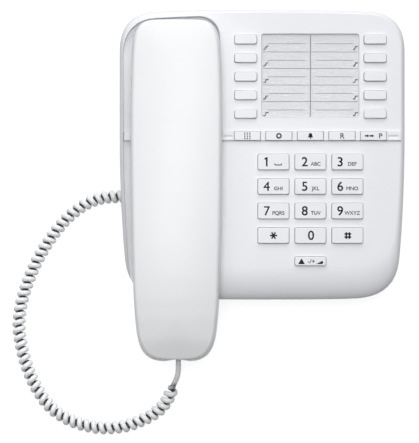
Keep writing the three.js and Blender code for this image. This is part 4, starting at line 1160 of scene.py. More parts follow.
def disc(radius, hole=0.0, x=0.0, y=0.0, sides=24):
    """A flat dot, or a ring where it has a hole."""
    only(floor)
    bpy.ops.mesh.primitive_circle_add(vertices=sides, radius=radius * MM, fill_type="NGON")
    mark = bpy.context.object
    mark.data.transform(Matrix.Translation(Vector((x, y, 0)) * MM))
    if hole:
        edit(mark, "FACE")
        bpy.ops.mesh.inset(thickness=(radius - hole) * MM)
        bpy.ops.mesh.delete(type="FACE")
        bpy.ops.object.mode_set(mode="OBJECT")
    return mark


# %% Signs drawn from a few points
def star(reach, stroke):
    """Six equal arms."""
    points = []
    for arm in range(6):
        angle, between = arm * math.pi / 3, (arm + 0.5) * math.pi / 3
        along = Vector((math.cos(angle), math.sin(angle)))
        across = Vector((-along.y, along.x)) * stroke / 2
        corner = Vector((math.cos(between), math.sin(between))) * stroke
        points += [along * reach - across, along * reach + across, corner]
    return shape([tuple(point) for point in points])


def hash_sign(size, stroke):
    """Two upright bars and two level ones."""
    bars = []
    for place in (-size / 4.4, size / 4.4):
        a, b = place - stroke / 2, place + stroke / 2
        for corners in ([(a, -1), (b, -1), (b, 1), (a, 1)], [(-1, a), (1, a), (1, b), (-1, b)]):
            grown = [tuple(value * size / 2 if abs(value) == 1 else value for value in c) for c in corners]
            bars.append(shape(grown))
    return bars


# Points in mm round the mark's own middle.
ONE = [(-0.5, -2.75), (0.5, -2.75), (0.5, 2.75), (-0.25, 2.75), (-1.5, 1.95), (-1.1, 1.1), (-0.5, 1.5)]
SPACE_SIGN = [
    (-2.5, 0.6), (-1.95, 0.6), (-1.6, 0), (1.6, 0), (1.95, 0.6), (2.5, 0.6), (2, -0.65), (-2, -0.65)]
ARROW = [(-1.4, 0.42), (0, 0.42), (0, 0.85), (1.4, 0), (0, -0.85), (0, -0.42), (-1.4, -0.42)]
TRIANGLE = [(-2.05, -1.7), (2.05, -1.7), (0, 1.75)]
WEDGE = [(-2.1, -0.95), (1.5, -0.95), (2.0, -0.6), (2.1, 0), (1.9, 0.7), (1.5, 0.95)]
BELL = (0, -1.1), [
    ((0.5, -1.1), (1, -1.1), (1.55, -1.1)),
    ((1.55, -0.8), (1.05, -0.5), (1.05, 0.1)),
    ((1.05, 0.95), (0.6, 1.55), (0, 1.55)),
]
print("signs: star, hash, space, arrow, triangle, wedge and bell")

# %% [markdown]
# Each legend is a list of marks on one key: the mark, its place from the key's middle, its ink and how
# much bolder it is than drawn.

# %% Lay out the dial keys' legends
LETTERS = ["", "ABC", "DEF", "GHI", "JKL", "MNO", "PQRS", "TUV", "WXYZ"]
FIGURE, FIGURE_BOLDER, FIGURE_Y = 5.3, 0.18, 0.1
SMALL, SMALL_BOLDER, SMALL_Y = 2.1, 0.1, -1.2
FIGURE_X, LETTERS_X = (-4.05, -3.45, -4.4), (2.9, 3.1, 2.8)  # by column

layout = {name: [] for name in keys}
for n in range(9):
    if n == 0:
        figure = (shape(ONE), FIGURE_X[0], FIGURE_Y, dark_ink)
    else:
        figure = (lettering(DIAL_NAMES[n], FIGURE), FIGURE_X[n % 3], FIGURE_Y, dark_ink, FIGURE_BOLDER)
    layout["key_" + DIAL_NAMES[n]].append(figure)
    if LETTERS[n]:
        letters = (lettering(LETTERS[n], SMALL), LETTERS_X[n % 3], SMALL_Y, dark_ink, SMALL_BOLDER)
        layout["key_" + DIAL_NAMES[n]].append(letters)
layout["key_1"].append((shape(SPACE_SIGN), 2.75, -1.5, grey_ink))
layout["key_0"] = [(lettering("0", FIGURE), 0.3, FIGURE_Y, dark_ink, FIGURE_BOLDER)]
layout["key_star"] = [(star(2.2, 0.9), 0, 0, dark_ink)]
layout["key_hash"] = [(stroke, 0.2, 0, dark_ink) for stroke in hash_sign(4.1, 0.9)]

# %% Lay out the signs of the other keys
DOT, DOT_PITCH = 0.4, (1.5, 1.1)
RING, RING_HOLE = 1.7, 0.85
RECALL, PAUSE, PLUS_MINUS = 3.1, 2.9, 2.6  # heights of capitals

layout["key_menu"] = [
    (disc(DOT, x=(column - 1) * DOT_PITCH[0], y=(1.5 - row) * DOT_PITCH[1], sides=12), 0, 0, dark_ink)
    for column in range(3) for row in range(4)
]
layout["key_mute"] = [(disc(RING, hole=RING_HOLE), 0, 0, dark_ink)]
layout["key_bell"] = [
    (filled(draw("bell", mirrored(*BELL), steps=6)), 0, 0.15, dark_ink), (disc(DOT), 0, -1.35, dark_ink)]
layout["key_recall"] = [(lettering("R", RECALL), 0, 0, dark_ink, SMALL_BOLDER)]
layout["key_redial"] = [
    (lettering("P", PAUSE), 4.1, 0, dark_ink, SMALL_BOLDER),
    (shape(ARROW), -3.95, 0, dark_ink), (shape(ARROW), -1.1, 0, dark_ink),
]
layout["key_volume"] = [
    (shape(TRIANGLE), -5.4, 0, dark_ink), (lettering("-/+", PLUS_MINUS), 0.5, 0, dark_ink, SMALL_BOLDER),
    (shape(WEDGE), 5.5, -0.7, dark_ink),
]
print(sum(map(len, layout.values())), "marks")

# %% [markdown]
# The 5 has a tiny raised nib beside its figure, for fingers that dial without looking. It is joined to
# the cap, and the edge between them stays.

# %% Set every key in its place
NIB = [(KEY_TOP - 0.2, 0.42), (KEY_TOP + 0.1, 0.42), (KEY_TOP + 0.25, 0.34), (KEY_TOP + 0.32, 0.18)]
NIB_PLACE = (0.2, 0.3)

for name, (x, y, size) in keys.items():
    cap = copy_of(patterns[size], name.replace("key", "cap", 1))
    if name == "key_5":
        combine(cap, "UNION", turned("nib", *NIB_PLACE, NIB, sides=16))
    marks = [film(mark, right, up, KEY_TOP, *printing) for mark, right, up, *printing in layout[name]]
    together(cap, *marks)
    seat(cap, x, y)
    settle(cap, name, "key_white", key_abs, name)
for pattern in patterns.values():
    bpy.data.objects.remove(pattern)
print(len(keys), "keys are in place")

# %% [markdown]
# ## The index card and its window
#
# The card lies in its recess, 1.4 mm under the face, so the recess's upper edge throws a shadow on it.
# Its ruling is printed like the legends: a line between the columns, lines between the rows, a line to
# write on in each field, and a small step arrow that points to the field's key. The window is a thin
# sheet of acrylic over the card.

# %% Model the card
CARD_TOP, CARD_THICKNESS, CARD_GAP = -1.4, 0.3, 0.5
ROW_PITCH, ROWS_TOP = 9.95, 71.4
RULE, MIDDLE_RULE, MIDDLE_X = 0.42, 0.7, PANEL_X + 0.1  # mm thick, and where the middle one is
WRITING_LINE, WRITING_X, WRITING_DROP = 22.5, 14.5, 5
ARROW_MIDDLE, ARROW_X, ARROW_DROP = PANEL_X + 0.25, 26.9, 7.5
STEP_ARROW = [
    (-1.6, -1.25), (-0.2, -1.25), (0.4, 0.55), (1.6, 0.55),
    (1.6, 1.25), (-0.15, 1.25), (-0.75, -0.55), (-1.6, -0.55),
]

card_size = [side - 2 * CARD_GAP for side in CARD_SIZE]
card = rounded(
    "printed_card", PANEL_X, CARD_Y, *card_size, CARD_CORNER,
    [(CARD_TOP - CARD_THICKNESS, *card_size)] + rolled(*card_size, CARD_TOP, 0.05, steps=1))
card.data.materials.append(white_card)


def rule(x, y, width, length, ink):
    """A printed line, given by its middle and its size."""
    a, b = width / 2, length / 2
    return film(shape([(-a, -b), (a, -b), (a, b), (-a, b)]), x, y, CARD_TOP, ink)


ruling = [rule(MIDDLE_X, CARD_Y, MIDDLE_RULE, card_size[1] - 0.6, line_ink)]
row_line = (card_size[0] - MIDDLE_RULE) / 2 - 0.4
for row in range(5):
    top = ROWS_TOP - row * ROW_PITCH
    for side in (-1, 1):
        ruling.append(rule(PANEL_X + side * WRITING_X, top - WRITING_DROP, WRITING_LINE, RULE, line_ink))
        arrow_x = ARROW_MIDDLE + side * ARROW_X
        ruling.append(film(shape(STEP_ARROW), arrow_x, top - ARROW_DROP, CARD_TOP, dark_ink))
        if row < 4:
            row_x = MIDDLE_X + side * (row_line / 2 + 0.6)
            ruling.append(rule(row_x, top - ROW_PITCH, row_line, RULE, line_ink))
together(card, *ruling)
seat(card)
settle(card, "root", "index_card", white_card, "index_card")

# %% Model the window
WINDOW_TOP, WINDOW_THICKNESS, WINDOW_EDGE = -0.5, 0.6, 0.1

window_size = [side - 2 * RUNNING_GAP for side in CARD_SIZE]
window = rounded(
    "clear_window", PANEL_X, CARD_Y, *window_size, CARD_CORNER,
    [(WINDOW_TOP - WINDOW_THICKNESS, *window_size), (WINDOW_TOP - WINDOW_EDGE, *window_size),
     (WINDOW_TOP, *(side - 2 * WINDOW_EDGE for side in window_size))])
smooth(window, 20)
seat(window)
settle(window, "card_window", "window_clear", window_acrylic, "card_window")

# %% [markdown]
# ## The handset's back
#
# The back is the one large surface of the phone, so its light decides how the phone looks. It is a shell:
# a nearly upright wall, a rolled edge and a top that is crowned by 2.2 mm. Seen from the side it is
# thickest near its middle and gets thinner towards both ends, most at the lower one. Drawing that as
# sections would need many of them. Here the outline is raised once, as if the handset were equally thick
# everywhere, and a lattice then presses the ends down. Its lowest plane stays, so the wall's foot is flat.

# %% The handset's outline and its height
HANDSET_WIDTH = 55
HANDSET_OVERHANG = 36.9  # past the base's front edge
HANDSET_LENGTH = HANDSET_TOP + HALF_LENGTH + HANDSET_OVERHANG
HANDSET_HEIGHT, THICKEST = 22, 100
TOP_DROP, LOWER_DROP = 4, 10
BACK_ROLL, ROLL_STEPS, DRAFT, CROWN = (2.4, 3.6), 8, 0.8, 2.2
SHELL_WALL, SHELL_PART = 2, 2  # the two shells part this far above the base's face

w, last = HANDSET_WIDTH / 2, HANDSET_LENGTH
HALF_OUTLINE = [(0, last), [
    ((4, last), (8, last - 0.1), (12.5, last - 0.9)),
    ((w - 8, last - 2.8), (w - 4.9, last - 7.8), (w - 3.5, last - 18.3)),
    ((w - 2.6, last - 25.8), (w - 1.9, last - 34.8), (w - 1.5, last - 45.8)),
    ((w - 0.5, last - 74.8), (w, 95), (w, 60)),
    ((w, 42), (w - 0.6, 26), (w - 1.2, 16)),
    ((w - 2.1, 6), (w - 5, 1), (w - 12.5, 0.4)),
    ((11, 0.1), (6, 0), (0, 0)),
]]


def from_top(point):
    """A point of the outline, whose y is measured from the handset's top end, on the flat."""
    return (point[0], HANDSET_TOP - point[1])


HANDSET_OUTLINE = from_top(HALF_OUTLINE[0]), [tuple(map(from_top, stretch)) for stretch in HALF_OUTLINE[1]]
handset_middle = (HANDSET_X, HANDSET_TOP - HANDSET_LENGTH / 2)


def handset_level(height, inset):
    """A level of a stack with the handset's outline, drawn in by an inset."""
    return (height, HANDSET_WIDTH - 2 * inset, HANDSET_LENGTH - 2 * inset, *handset_middle)


def handset_stack(name, levels):
    """A stack with the handset's outline; its levels are (height, how far it is drawn in)."""
    return climb(draw(name, mirrored(*HANDSET_OUTLINE)), [handset_level(*level) for level in levels])


def drop(t):
    """How much lower the back is than at its thickest place, t mm from its top end."""
    if t > THICKEST:
        return LOWER_DROP * ((t - THICKEST) / (HANDSET_LENGTH - THICKEST)) ** 3
    return TOP_DROP * ((THICKEST - t) / THICKEST) ** 2.5


# %% [markdown]
# The crown is part of the stack: after the rolled edge, the loop goes on inwards in a few steps that rise
# less and less, until it closes on the handset's middle line.

# %% Raise the back and press its ends down
CROWN_SHARES = (0.9, 0.75, 0.6, 0.45, 0.3, 0.15, 0)  # of the top's width, from the roll to the middle line
CAGE_MARGIN, CAGE_ROWS = 1, 18
LOWEST_PLANE = -0.5  # of a lattice, in its own units


def press_ends(form, edge):
    """Lower the ends of a form whose roll starts at a height, with a lattice."""
    bpy.ops.object.add(type="LATTICE", location=Vector((*handset_middle, edge)) * MM)
    cage = bpy.context.object
    cage_length = HANDSET_LENGTH + 2 * CAGE_MARGIN
    cage_height = 2 * (edge - SHELL_PART)
    cage.scale = Vector((HANDSET_WIDTH + 2 * CAGE_MARGIN, cage_length, cage_height)) * MM
    cage.data.points_u, cage.data.points_v, cage.data.points_w = 2, CAGE_ROWS, 3
    cage.data.interpolation_type_u = cage.data.interpolation_type_w = "KEY_LINEAR"
    cage.data.interpolation_type_v = "KEY_CARDINAL"
    for point in cage.data.points:
        if point.co.z > LOWEST_PLANE + 0.1:
            t = min(max((0.5 - point.co.y) * cage_length - CAGE_MARGIN, 0), HANDSET_LENGTH)
            point.co_deform.z = point.co.z - drop(t) / cage_height
    modify(form, "LATTICE", object=cage)
    bpy.data.objects.remove(cage)
    return form


def back_form(name, inside=0.0):
    """The back of the handset, as a form that lies inside its surface."""
    roll_width, roll_height = BACK_ROLL
    crown_slope = 2 * CROWN / (HANDSET_WIDTH / 2 - DRAFT - roll_width)
    roll_end = math.atan2(roll_height, crown_slope * roll_width)  # where the roll is as steep as the crown
    edge = HANDSET_HEIGHT - CROWN - roll_height * math.sin(roll_end)
    levels = [handset_level(SHELL_PART - (1 if inside else 0), inside)]
    for n in range(ROLL_STEPS + 1):
        turn = n / ROLL_STEPS * roll_end
        inset = DRAFT + roll_width - (roll_width - inside) * math.cos(turn)
        levels.append(handset_level(edge + (roll_height - inside) * math.sin(turn), inset))
    top_width, top_length = (side - 2 * inset for side in (HANDSET_WIDTH, HANDSET_LENGTH))
    spine = HANDSET_LENGTH - HANDSET_WIDTH
    for share in CROWN_SHARES:
        height = HANDSET_HEIGHT - inside - CROWN * share ** 2
        levels.append((height, top_width * share, spine + (top_length - spine) * share, *handset_middle))
    return press_ends(climb(draw(name, mirrored(*HANDSET_OUTLINE)), levels), edge)


handset_back = back_form("handset_back_shell")
combine(handset_back, "DIFFERENCE", back_form("handset hollow", SHELL_WALL))
print("handset back:", len(handset_back.data.polygons), "faces")

# %% [markdown]
# The lower end has a shallow notch over the socket of the cord, so that the plug's end can be seen and
# pulled. A large round cutter gives it the slow curve of the real one. Inside, a boss takes the screw.

# %% Notch and screw boss
NOTCH_WIDTH, NOTCH_DEPTH, NOTCH_X = 17, 1.9, HANDSET_X + 0.5
SCREW_T, SCREW_HOLE = 150, 1.55
notch_radius = (NOTCH_WIDTH ** 2 / 4 + NOTCH_DEPTH ** 2) / (2 * NOTCH_DEPTH)
screw_place = (HANDSET_X, HANDSET_TOP - SCREW_T)


def notch_cutter():
    """A large upright cylinder that takes a shallow bite out of the lower end."""
    y = HANDSET_TOP - HANDSET_LENGTH + NOTCH_DEPTH - notch_radius
    return rod("notch", NOTCH_X, y, notch_radius, -1, 30, sides=160)


cut(handset_back, [notch_cutter()])
boss_top = HANDSET_HEIGHT - drop(SCREW_T) - SHELL_WALL / 2
combine(handset_back, "UNION", turned("boss", *screw_place, [(2.3, 3.2), (boss_top, 3.6)], sides=32))
cut(handset_back, [rod("screw hole", *screw_place, SCREW_HOLE, 0, 15, sides=24)])
smooth(handset_back, 35)
seat(handset_back)
settle(handset_back, "handset", "handset_white", handset_abs, "handset_back")

# %% [markdown]
# ## The handset's front
#
# The front shell is a flange that closes the back, a slim handle, and two ends that reach lower: the ear
# end, which lies in the pocket, and the mouth end, which hangs in front of the base. All four follow the
# handset's own outline, drawn in by some millimetres, so each is a stack with a rounded lower edge. They
# are united, and the same forms, drawn in by the wall, are cut from them.

# %% Shapes of the front shell
HANDLE_INSET, HANDLE_UNDERSIDE = 3, -2
EAR_INSET, EAR_UNDERSIDE, EAR_LENGTH, EAR_MIDDLE = 4.5, -12, 50, 27.5
MOUTH_UNDERSIDE, MOUTH_START, MOUTH_SLOPE = -11, HANDSET_TOP + HALF_LENGTH + 2.1, 5
FLANGE_INSET, FLANGE_BOTTOM, FLANGE_LEVEL = 0.4, 0.8, 1.7  # of the flange that closes the back
ZONE_MARGIN = 10  # past the handset's end


def underside(bottom, inset, edge, top):
    """Levels of a form with a rounded lower edge."""
    levels = [(bottom + edge * (1 - math.cos(turn)), inset + edge * (1 - math.sin(turn)))
              for turn in quarter_turn(5)]
    return levels + [(top, inset)]


def hollow_stack(name, bottom, inset):
    """The room inside a form with this underside and this inset."""
    inset += SHELL_WALL
    return handset_stack(name, [(bottom + SHELL_WALL, inset), (SHELL_PART + 1, inset)])


def ear_zone(length, width=HANDSET_WIDTH, corner=8):
    """The space of the ear end."""
    size = (width, length + 2 * ZONE_MARGIN)
    y = HANDSET_TOP - length / 2 + ZONE_MARGIN
    return rounded("ear zone", HANDSET_X, y, *size, corner, [(-30, *size), (30, *size)])


def mouth_zone(start, bottom):
    """The space of the mouth end, whose side towards the base slopes."""
    end = HANDSET_LENGTH + ZONE_MARGIN
    levels = []
    for z, t in ((bottom, start + MOUTH_SLOPE), (HANDLE_UNDERSIDE, start), (SHELL_PART + 3, start)):
        levels.append((z, HANDSET_WIDTH, end - t, HANDSET_X, HANDSET_TOP - (t + end) / 2))
    return rounded("mouth zone", HANDSET_X, 0, HANDSET_WIDTH, end - start, 3, levels)


# %% Model the front shell
flange = [(FLANGE_BOTTOM, FLANGE_INSET), (FLANGE_LEVEL, FLANGE_INSET)]
handset_front = handset_stack("handset_front_shell", flange)
handle = handset_stack("handle", underside(HANDLE_UNDERSIDE, HANDLE_INSET, 1, FLANGE_LEVEL - 0.2))
ear = handset_stack("ear", underside(EAR_UNDERSIDE, EAR_INSET, 1.5, 0))
combine(ear, "INTERSECT", ear_zone(EAR_LENGTH))
mouth = handset_stack("mouth", underside(MOUTH_UNDERSIDE, HANDLE_INSET, 2, 0))
combine(mouth, "INTERSECT", mouth_zone(MOUTH_START, MOUTH_UNDERSIDE - 1))
combine(handset_front, "UNION", handle, ear, mouth)

handle_room = hollow_stack("handle room", HANDLE_UNDERSIDE, HANDLE_INSET)
ear_room = hollow_stack("ear room", EAR_UNDERSIDE, EAR_INSET)
combine(ear_room, "INTERSECT", ear_zone(EAR_LENGTH - SHELL_WALL, HANDSET_WIDTH - 2 * SHELL_WALL, 6))
mouth_room = hollow_stack("mouth room", MOUTH_UNDERSIDE, HANDLE_INSET)
combine(mouth_room, "INTERSECT", mouth_zone(MOUTH_START + SHELL_WALL + 0.4, MOUTH_UNDERSIDE + SHELL_WALL))
combine(handset_front, "DIFFERENCE", handle_room, ear_room, mouth_room)
print("handset front:", len(handset_front.data.polygons), "faces")

# %% [markdown]
# The ear end has a shallow dish with seven sound holes, which rests comfortably on an ear. The mouth end
# has two small holes over the microphone, and its end wall the socket for the cord's plug.

# %% Dish, holes and socket
SOUND_HOLE, SOUND_RING = 1.3, 7
DISH = [(-1, 17), (0, 15), (0.35, 13.6), (0.6, 11.5), (0.75, 8), (0.8, 3)]  # height over the ear's underside
MICROPHONE_T, MICROPHONE_HOLE = MOUTH_START + MOUTH_SLOPE + SHELL_WALL + 6, 0.9
PLUG_MOUTH, LATCH, SOCKET_DEPTH = (8.2, 6.4), (4.2, 2), 8
SOCKET_X, SOCKET_T, SOCKET_Z = HANDSET_X + 1, HANDSET_LENGTH - 5.6, -4.0
BELOW = -20  # anywhere under the handset

ear_place = (HANDSET_X, HANDSET_TOP - EAR_MIDDLE)
combine(handset_front, "UNION", rod("boss", *screw_place, 3.75, -1, SHELL_PART))
dish = turned("dish", *ear_place, [(EAR_UNDERSIDE + height, radius) for height, radius in DISH], sides=64)
cut(handset_front, [dish])
holes = []
for n in range(7):
    turn, reach = n * math.pi / 3, SOUND_RING if n < 6 else 0
    x, y = ear_place[0] + reach * math.cos(turn), ear_place[1] + reach * math.sin(turn)
    holes.append(rod("hole", x, y, SOUND_HOLE, BELOW, EAR_UNDERSIDE + SHELL_WALL + 1, sides=20))
for side in (-2, 2):
    holes.append(rod("hole", HANDSET_X + side, HANDSET_TOP - MICROPHONE_T, MICROPHONE_HOLE,
                     BELOW, MOUTH_UNDERSIDE + SHELL_WALL + 1, sides=16))
holes.append(rod("screw recess", *screw_place, 2.8, BELOW, 0.1))
cut(handset_front, holes)
cut(handset_front, [rod("screw hole", *screw_place, SCREW_HOLE, BELOW, 20, sides=24)])


def socket_cutter(width, bottom, top):
    """A cutter for the plug's socket, between two heights."""
    size = (width, SOCKET_DEPTH)
    y = HANDSET_TOP - SOCKET_T - SOCKET_DEPTH / 2 + 0.2
    return rounded("socket", SOCKET_X, y, *size, 0.2, [(bottom, *size), (top, *size)], segments=1)


half_plug = PLUG_MOUTH[1] / 2
combine(
    handset_front, "DIFFERENCE",
    socket_cutter(PLUG_MOUTH[0], SOCKET_Z - half_plug, SOCKET_Z + half_plug),
    socket_cutter(LATCH[0], SOCKET_Z, SOCKET_Z + half_plug + LATCH[1]),
    notch_cutter(),
)
smooth(handset_front, 35)
seat(handset_front)
settle(handset_front, "handset", "handset_white", handset_abs, "handset_front")

# %% [markdown]
# ## The base's lower case
#
# The lower case stands level on the table, but its upper edge slopes with the face. So its form is a
# stack whose low levels lie flat and whose high levels are turned together, by the face's slope, about
# the middle of the face. It holds what a real one does: the channel and the socket for the handset's
# cord, the line socket in the rear wall, wells for the two screws, the grille of the ringer, keyholes to
# hang it on a wall, and recesses for four feet. In this part the middle of the base is the origin.

# %% Forms of the lower case
BOTTOM_INSET, REAR_LEAN = 3.5, 2.7
UNDERSIDE, CHAMFER = 2, 1.5
FLOOR_HEIGHT = UNDERSIDE + CASE_WALL
LOWER_TOP = PARTING - RUNNING_GAP
LIP_INSET, LIP_REACH, LIP_HEIGHT = CASE_WALL + RUNNING_GAP, CASE_WALL + RUNNING_GAP + 1.2, 1.6
TABLE = Matrix.Translation((0, TABLE_SHIFT * MM, 0))
FACE_FROM_TABLE = TABLE.inverted() @ FACE


def lower_form(name, low, high):
    """A form with the base's outline; low levels lie on the table, high ones are parallel to the face."""
    levels = [(z, BASE_WIDTH - 2 * inset, BASE_LENGTH - 2 * inset, 0, REAR_LEAN) for z, inset in low]
    levels += [(FACE_HEIGHT + z, BASE_WIDTH - 2 * inset, BASE_LENGTH - 2 * inset, 0, 0) for z, inset in high]
    form = climb(draw(name, mirrored(*BASE_OUTLINE)), levels)
    edit(form, "VERT", lambda part: part.co.z > 15 * MM)
    bpy.ops.transform.rotate(value=-TILT, orient_axis="X", center_override=(0, 0, FACE_HEIGHT * MM))
    bpy.ops.object.mode_set(mode="OBJECT")
    return form


def block(name, xs, ys, zs, corner=0.4):
    """A block between two x, two y and two z."""
    size = (xs[1] - xs[0], ys[1] - ys[0])
    return rounded(name, sum(xs) / 2, sum(ys) / 2, *size, corner, [(z, *size) for z in zs], segments=3)


def tilted(piece):
    """Turn a piece that was modelled on the flat face to where it is over the table."""
    piece.matrix_world = FACE_FROM_TABLE
    only(piece)
    bpy.ops.object.transform_apply()
    return piece


def lower_outside(name):
    """The lower case as a full block with rounded lower edges."""
    low = [(UNDERSIDE + CHAMFER * (1 - math.cos(turn)), BOTTOM_INSET + CHAMFER * (1 - math.sin(turn)))
           for turn in quarter_turn(4)]
    return lower_form(name, low, [(LOWER_TOP, 0)])


lower_case = lower_outside("lower_case_shell")
lip_levels = [(LOWER_TOP - 2, LIP_INSET), (LOWER_TOP + LIP_HEIGHT, LIP_INSET)]
combine(lower_case, "UNION", lower_form("lip", [], lip_levels))
combine(lower_case, "DIFFERENCE", lower_form(
    "lower hollow", [(FLOOR_HEIGHT, CASE_WALL + BOTTOM_INSET)],
    [(LOWER_TOP - 4, CASE_WALL), (LOWER_TOP - 2.4, LIP_REACH), (LOWER_TOP + 3, LIP_REACH)]))
print("lower case:", len(lower_case.data.polygons), "faces")

# %% Walls and wells inside the lower case
CORD_Y, CHANNEL_HALF, CHANNEL_HEIGHT, CHANNEL_END = -20.5, 9, 15.2, -54
BASE_SOCKET_Z, LINE_SOCKET_X, LINE_SOCKET_Y, LINE_SOCKET_Z = 10.4, 40, 81.3, 10.65
LINE_WALL_HALF, LINE_WALL_TOP = 8, 18
SCREW_X, SCREW_Y, SCREW_SHOULDER = 62, -78, -22
WELL_OUTSIDE, WELL_INSIDE, WELL_HOLE = 4.4, 3.5, 1.8  # radii
RINGER_PLACE, RINGER_RADIUS, RINGER_GAP, RINGER_WALL = (44, -22), 15, 0.3, 1.5


def around(middle, half):
    return (middle - half, middle + half)


def at_screw(name, side, radius, bottom, top, sides=32):
    """A rod on the axis of a case screw, which stands square to the face."""
    return tilted(rod(name, side * SCREW_X, SCREW_Y, radius, bottom, top, sides))


walls = [
    block("channel wall", (-HALF_WIDTH, CHANNEL_END + CASE_WALL), around(CORD_Y, CHANNEL_HALF + CASE_WALL),
          (UNDERSIDE, CHANNEL_HEIGHT + CASE_WALL)),
    block("socket wall", around(LINE_SOCKET_X, LINE_WALL_HALF),
          (LINE_SOCKET_Y + RUNNING_GAP, HALF_LENGTH + 5), (UNDERSIDE, LINE_WALL_TOP)),
]
walls += [at_screw("well", side, WELL_OUTSIDE, -40, LOWER_TOP) for side in (-1, 1)]
for wall in walls:
    combine(lower_case, "UNION", combine(wall, "INTERSECT", lower_outside("outside")))
ringer_room = RINGER_RADIUS + RINGER_GAP
ring = rod("ringer wall", *RINGER_PLACE, ringer_room + RINGER_WALL, UNDERSIDE + 1, FLOOR_HEIGHT + 5, sides=64)
cut(ring, [rod("ringer room", *RINGER_PLACE, ringer_room, 0, 30, sides=64)])
combine(lower_case, "UNION", ring)
print("lower case with its walls:", len(lower_case.data.polygons), "faces")

# %% [markdown]
# The cuts are made in three rounds, because cutters that are cut in one go must not meet: first the
# channel, the recesses, the grille and the round ends of the keyholes, then the slots, sockets and wells
# that open into them, and last the latches' rooms and the screw holes.

# %% Cuts in the lower case
KEYHOLES, KEYHOLE_HEAD, KEYHOLE_SLOT = [(4, -38), (4, 42)], 4.2, (2.1, 10)
FOOT_RADIUS, FOOT_RECESS, FOOT_GAP = 6, 1.3, 0.3
FEET = [(x * (HALF_WIDTH - 20), REAR_LEAN + y * (HALF_LENGTH - 21)) for y in (-1, 1) for x in (-1, 1)]
LINE_MOUTH = (9.9, 6.9)
GRILLE_PITCH, GRILLE_SLOT = 4.5, (1.1, 11)  # half its width, and half the length of the middle one
through = (0, FLOOR_HEIGHT + 1)
cord_way, line_way = (CHANNEL_END - 1, CHANNEL_END + 5), (LINE_SOCKET_Y - 1, 100)

channel = (-HALF_WIDTH - 10, CHANNEL_END), around(CORD_Y, CHANNEL_HALF), (-5, CHANNEL_HEIGHT)
cuts = [block("channel", *channel, corner=1.5)]
foot_recess = (FOOT_RADIUS + FOOT_GAP, 0, UNDERSIDE + FOOT_RECESS)
cuts += [rod("foot recess", *place, *foot_recess, sides=48) for place in FEET]
for n in (-2, -1, 0, 1, 2):
    xs = around(RINGER_PLACE[0] + GRILLE_PITCH * n, GRILLE_SLOT[0])
    cuts.append(block("slot", xs, around(RINGER_PLACE[1], GRILLE_SLOT[1] - abs(n)), through, 1.0))
cuts += [rod("keyhole", x, y, KEYHOLE_HEAD, *through) for x, y in KEYHOLES]
cut(lower_case, cuts)

cuts = [block("keyhole slot", around(x, KEYHOLE_SLOT[0]), (y, y + KEYHOLE_SLOT[1]), through, 2)
        for x, y in KEYHOLES]
cuts += [
    block("cord socket", cord_way, around(CORD_Y, PLUG_MOUTH[0] / 2),
          around(BASE_SOCKET_Z, PLUG_MOUTH[1] / 2), 0.2),
    block("line socket", around(LINE_SOCKET_X, LINE_MOUTH[0] / 2), line_way,
          around(LINE_SOCKET_Z, LINE_MOUTH[1] / 2), 0.2),
]
cuts += [at_screw("screw well", side, WELL_INSIDE, -45, SCREW_SHOULDER) for side in (-1, 1)]
cut(lower_case, cuts)

cuts = [
    block("cord latch", cord_way, around(CORD_Y, LATCH[0] / 2),
          (BASE_SOCKET_Z - PLUG_MOUTH[1] / 2 - LATCH[1], BASE_SOCKET_Z), 0.2),
    block("line latch", around(LINE_SOCKET_X, LATCH[0] / 2), line_way,
          (LINE_SOCKET_Z - LINE_MOUTH[1] / 2 - LATCH[1], LINE_SOCKET_Z), 0.2),
]
cuts += [at_screw("screw hole", side, WELL_HOLE, -45, 0, sides=24) for side in (-1, 1)]
cut(lower_case, cuts)
smooth(lower_case, 35)
seat(lower_case, ground=TABLE)
settle(lower_case, "root", "case_white", case_abs, "lower_case")

# %% [markdown]
# ## Feet, plunger and screws
#
# The feet are moulded rubber pads with a shallow ring in their sole, which grips better than a flat one.
# The hook plunger has a flange that keeps it under the cradle's floor. The screws are thread-forming
# pan-heads with a cross recess: the head is turned, and a tapered cross is cut from it. Their threads
# would never be seen inside their bosses, so the shanks stay plain.

# %% Model the feet
FOOT_THICKNESS = 3


def foot(name, x, y):
    """A rubber foot with a ring-shaped groove in its sole."""
    levels = [(0, FOOT_RADIUS - 0.5), (0.15, FOOT_RADIUS - 0.15), (0.5, FOOT_RADIUS),
              (FOOT_THICKNESS, FOOT_RADIUS)]
    pad = turned(name, x, y, levels, sides=48)
    return cut(pad, [turned("groove", x, y, [(-1, 4.2), (0.5, 4), (0.5, 2.7), (-1, 2.5)], sides=32)])


for n, place in enumerate(FEET):
    pad = foot(f"rubber_foot_{n + 1}", *place)
    smooth(pad)
    seat(pad, ground=TABLE)
    settle(pad, "root", "grey_rubber", foot_rubber, f"foot_{n + 1}")

# %% Model the plunger
PLUNGER_FLANGE, PLUNGER_BOTTOM, PLUNGER_SHOULDER = (16, 6.4), -11.5, -10.3
plunger_levels = [
    (PLUNGER_BOTTOM, *PLUNGER_FLANGE), (PLUNGER_SHOULDER, *PLUNGER_FLANGE), (PLUNGER_SHOULDER, *PLUNGER_SIZE)]
plunger_levels += rolled(*PLUNGER_SIZE, REST_TOP, 0.8)
plunger = rounded("cradle_plunger", HANDSET_X, PLUNGER_Y, *PLUNGER_SIZE, 1, plunger_levels)
smooth(plunger, 40)
seat(plunger)
settle(plunger, "hook_plunger", "case_white", case_abs, "hook_plunger")


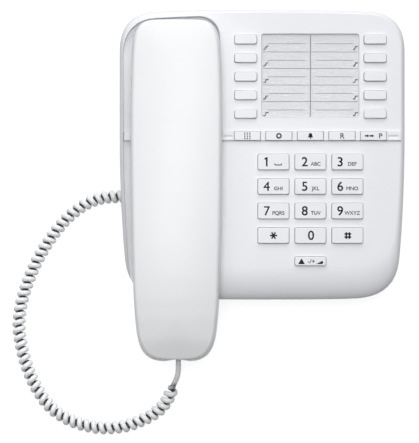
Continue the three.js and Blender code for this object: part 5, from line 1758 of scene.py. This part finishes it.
# %% Model the screws
CASE_SCREW = {"head": 3, "head_bottom": -24.3, "head_top": -22.3, "shank": 1.5, "tip": -8.2}
SHELL_SCREW = {"head": 2.5, "head_bottom": -1.8, "head_top": -0.2, "shank": 1.25, "tip": 12}
RECESS_WIDTH, RECESS_DEPTH = 0.7, 1.1


def screw(name, x, y, head, head_bottom, head_top, shank, tip):
    """A pan-head screw that points up, with a cross recess; head and shank are radii."""
    edge = 0.4
    levels = [(head_bottom, head - 2 * edge), (head_bottom + edge / 2, head - edge / 2),
              (head_bottom + edge, head), (head_top, head), (head_top, shank),
              (tip - 1, shank), (tip, shank * 0.55)]
    made = turned(name, x, y, levels, sides=32)
    for size in ((RECESS_WIDTH, head * 1.15), (head * 1.15, RECESS_WIDTH)):
        narrow = [side * 0.6 for side in size]
        recess_levels = [(head_bottom - 1, *size), (head_bottom + RECESS_DEPTH, *narrow)]
        cut(made, [rounded("recess", x, y, *size, 0.1, recess_levels, segments=1)])
    smooth(made)
    return seat(made)


for n, side in enumerate((-1, 1)):
    made = screw(f"base_screw_{n + 1}", side * SCREW_X, SCREW_Y, **CASE_SCREW)
    settle(made, "root", "steel", zinc_steel, f"case_screw_{n + 1}")
made = screw("shell_screw", *screw_place, **SHELL_SCREW)
settle(made, "handset", "steel", zinc_steel, "handset_screw")

# %% [markdown]
# ## What stays as the frame has it
#
# The parts inside, the sockets and the plugs are right as the frame gives them, so they only get their
# materials. The plugs are clear, and their cord shows through them a little.

# %% Finish the frame's own pieces
FINISHES = {
    "main_board": solder_mask, "key_mat": foot_rubber, "hook_switch": black_abs, "hook_spring": zinc_steel,
    "ringer": black_abs, "line_jack": jack_abs, "base_handset_jack": jack_abs, "handset_jack": jack_abs,
    "base_plug": plug_polycarbonate, "handset_plug": plug_polycarbonate, "receiver": black_abs,
    "receiver_gasket": foot_rubber, "microphone": drawn_aluminium, "handset_weight": zinc_steel,
}
for name, finish in FINISHES.items():
    node = frame["nodes"][name]
    node.data.materials.clear()
    node.data.materials.append(finish)
print(len(FINISHES), "of the frame's pieces keep their shape")
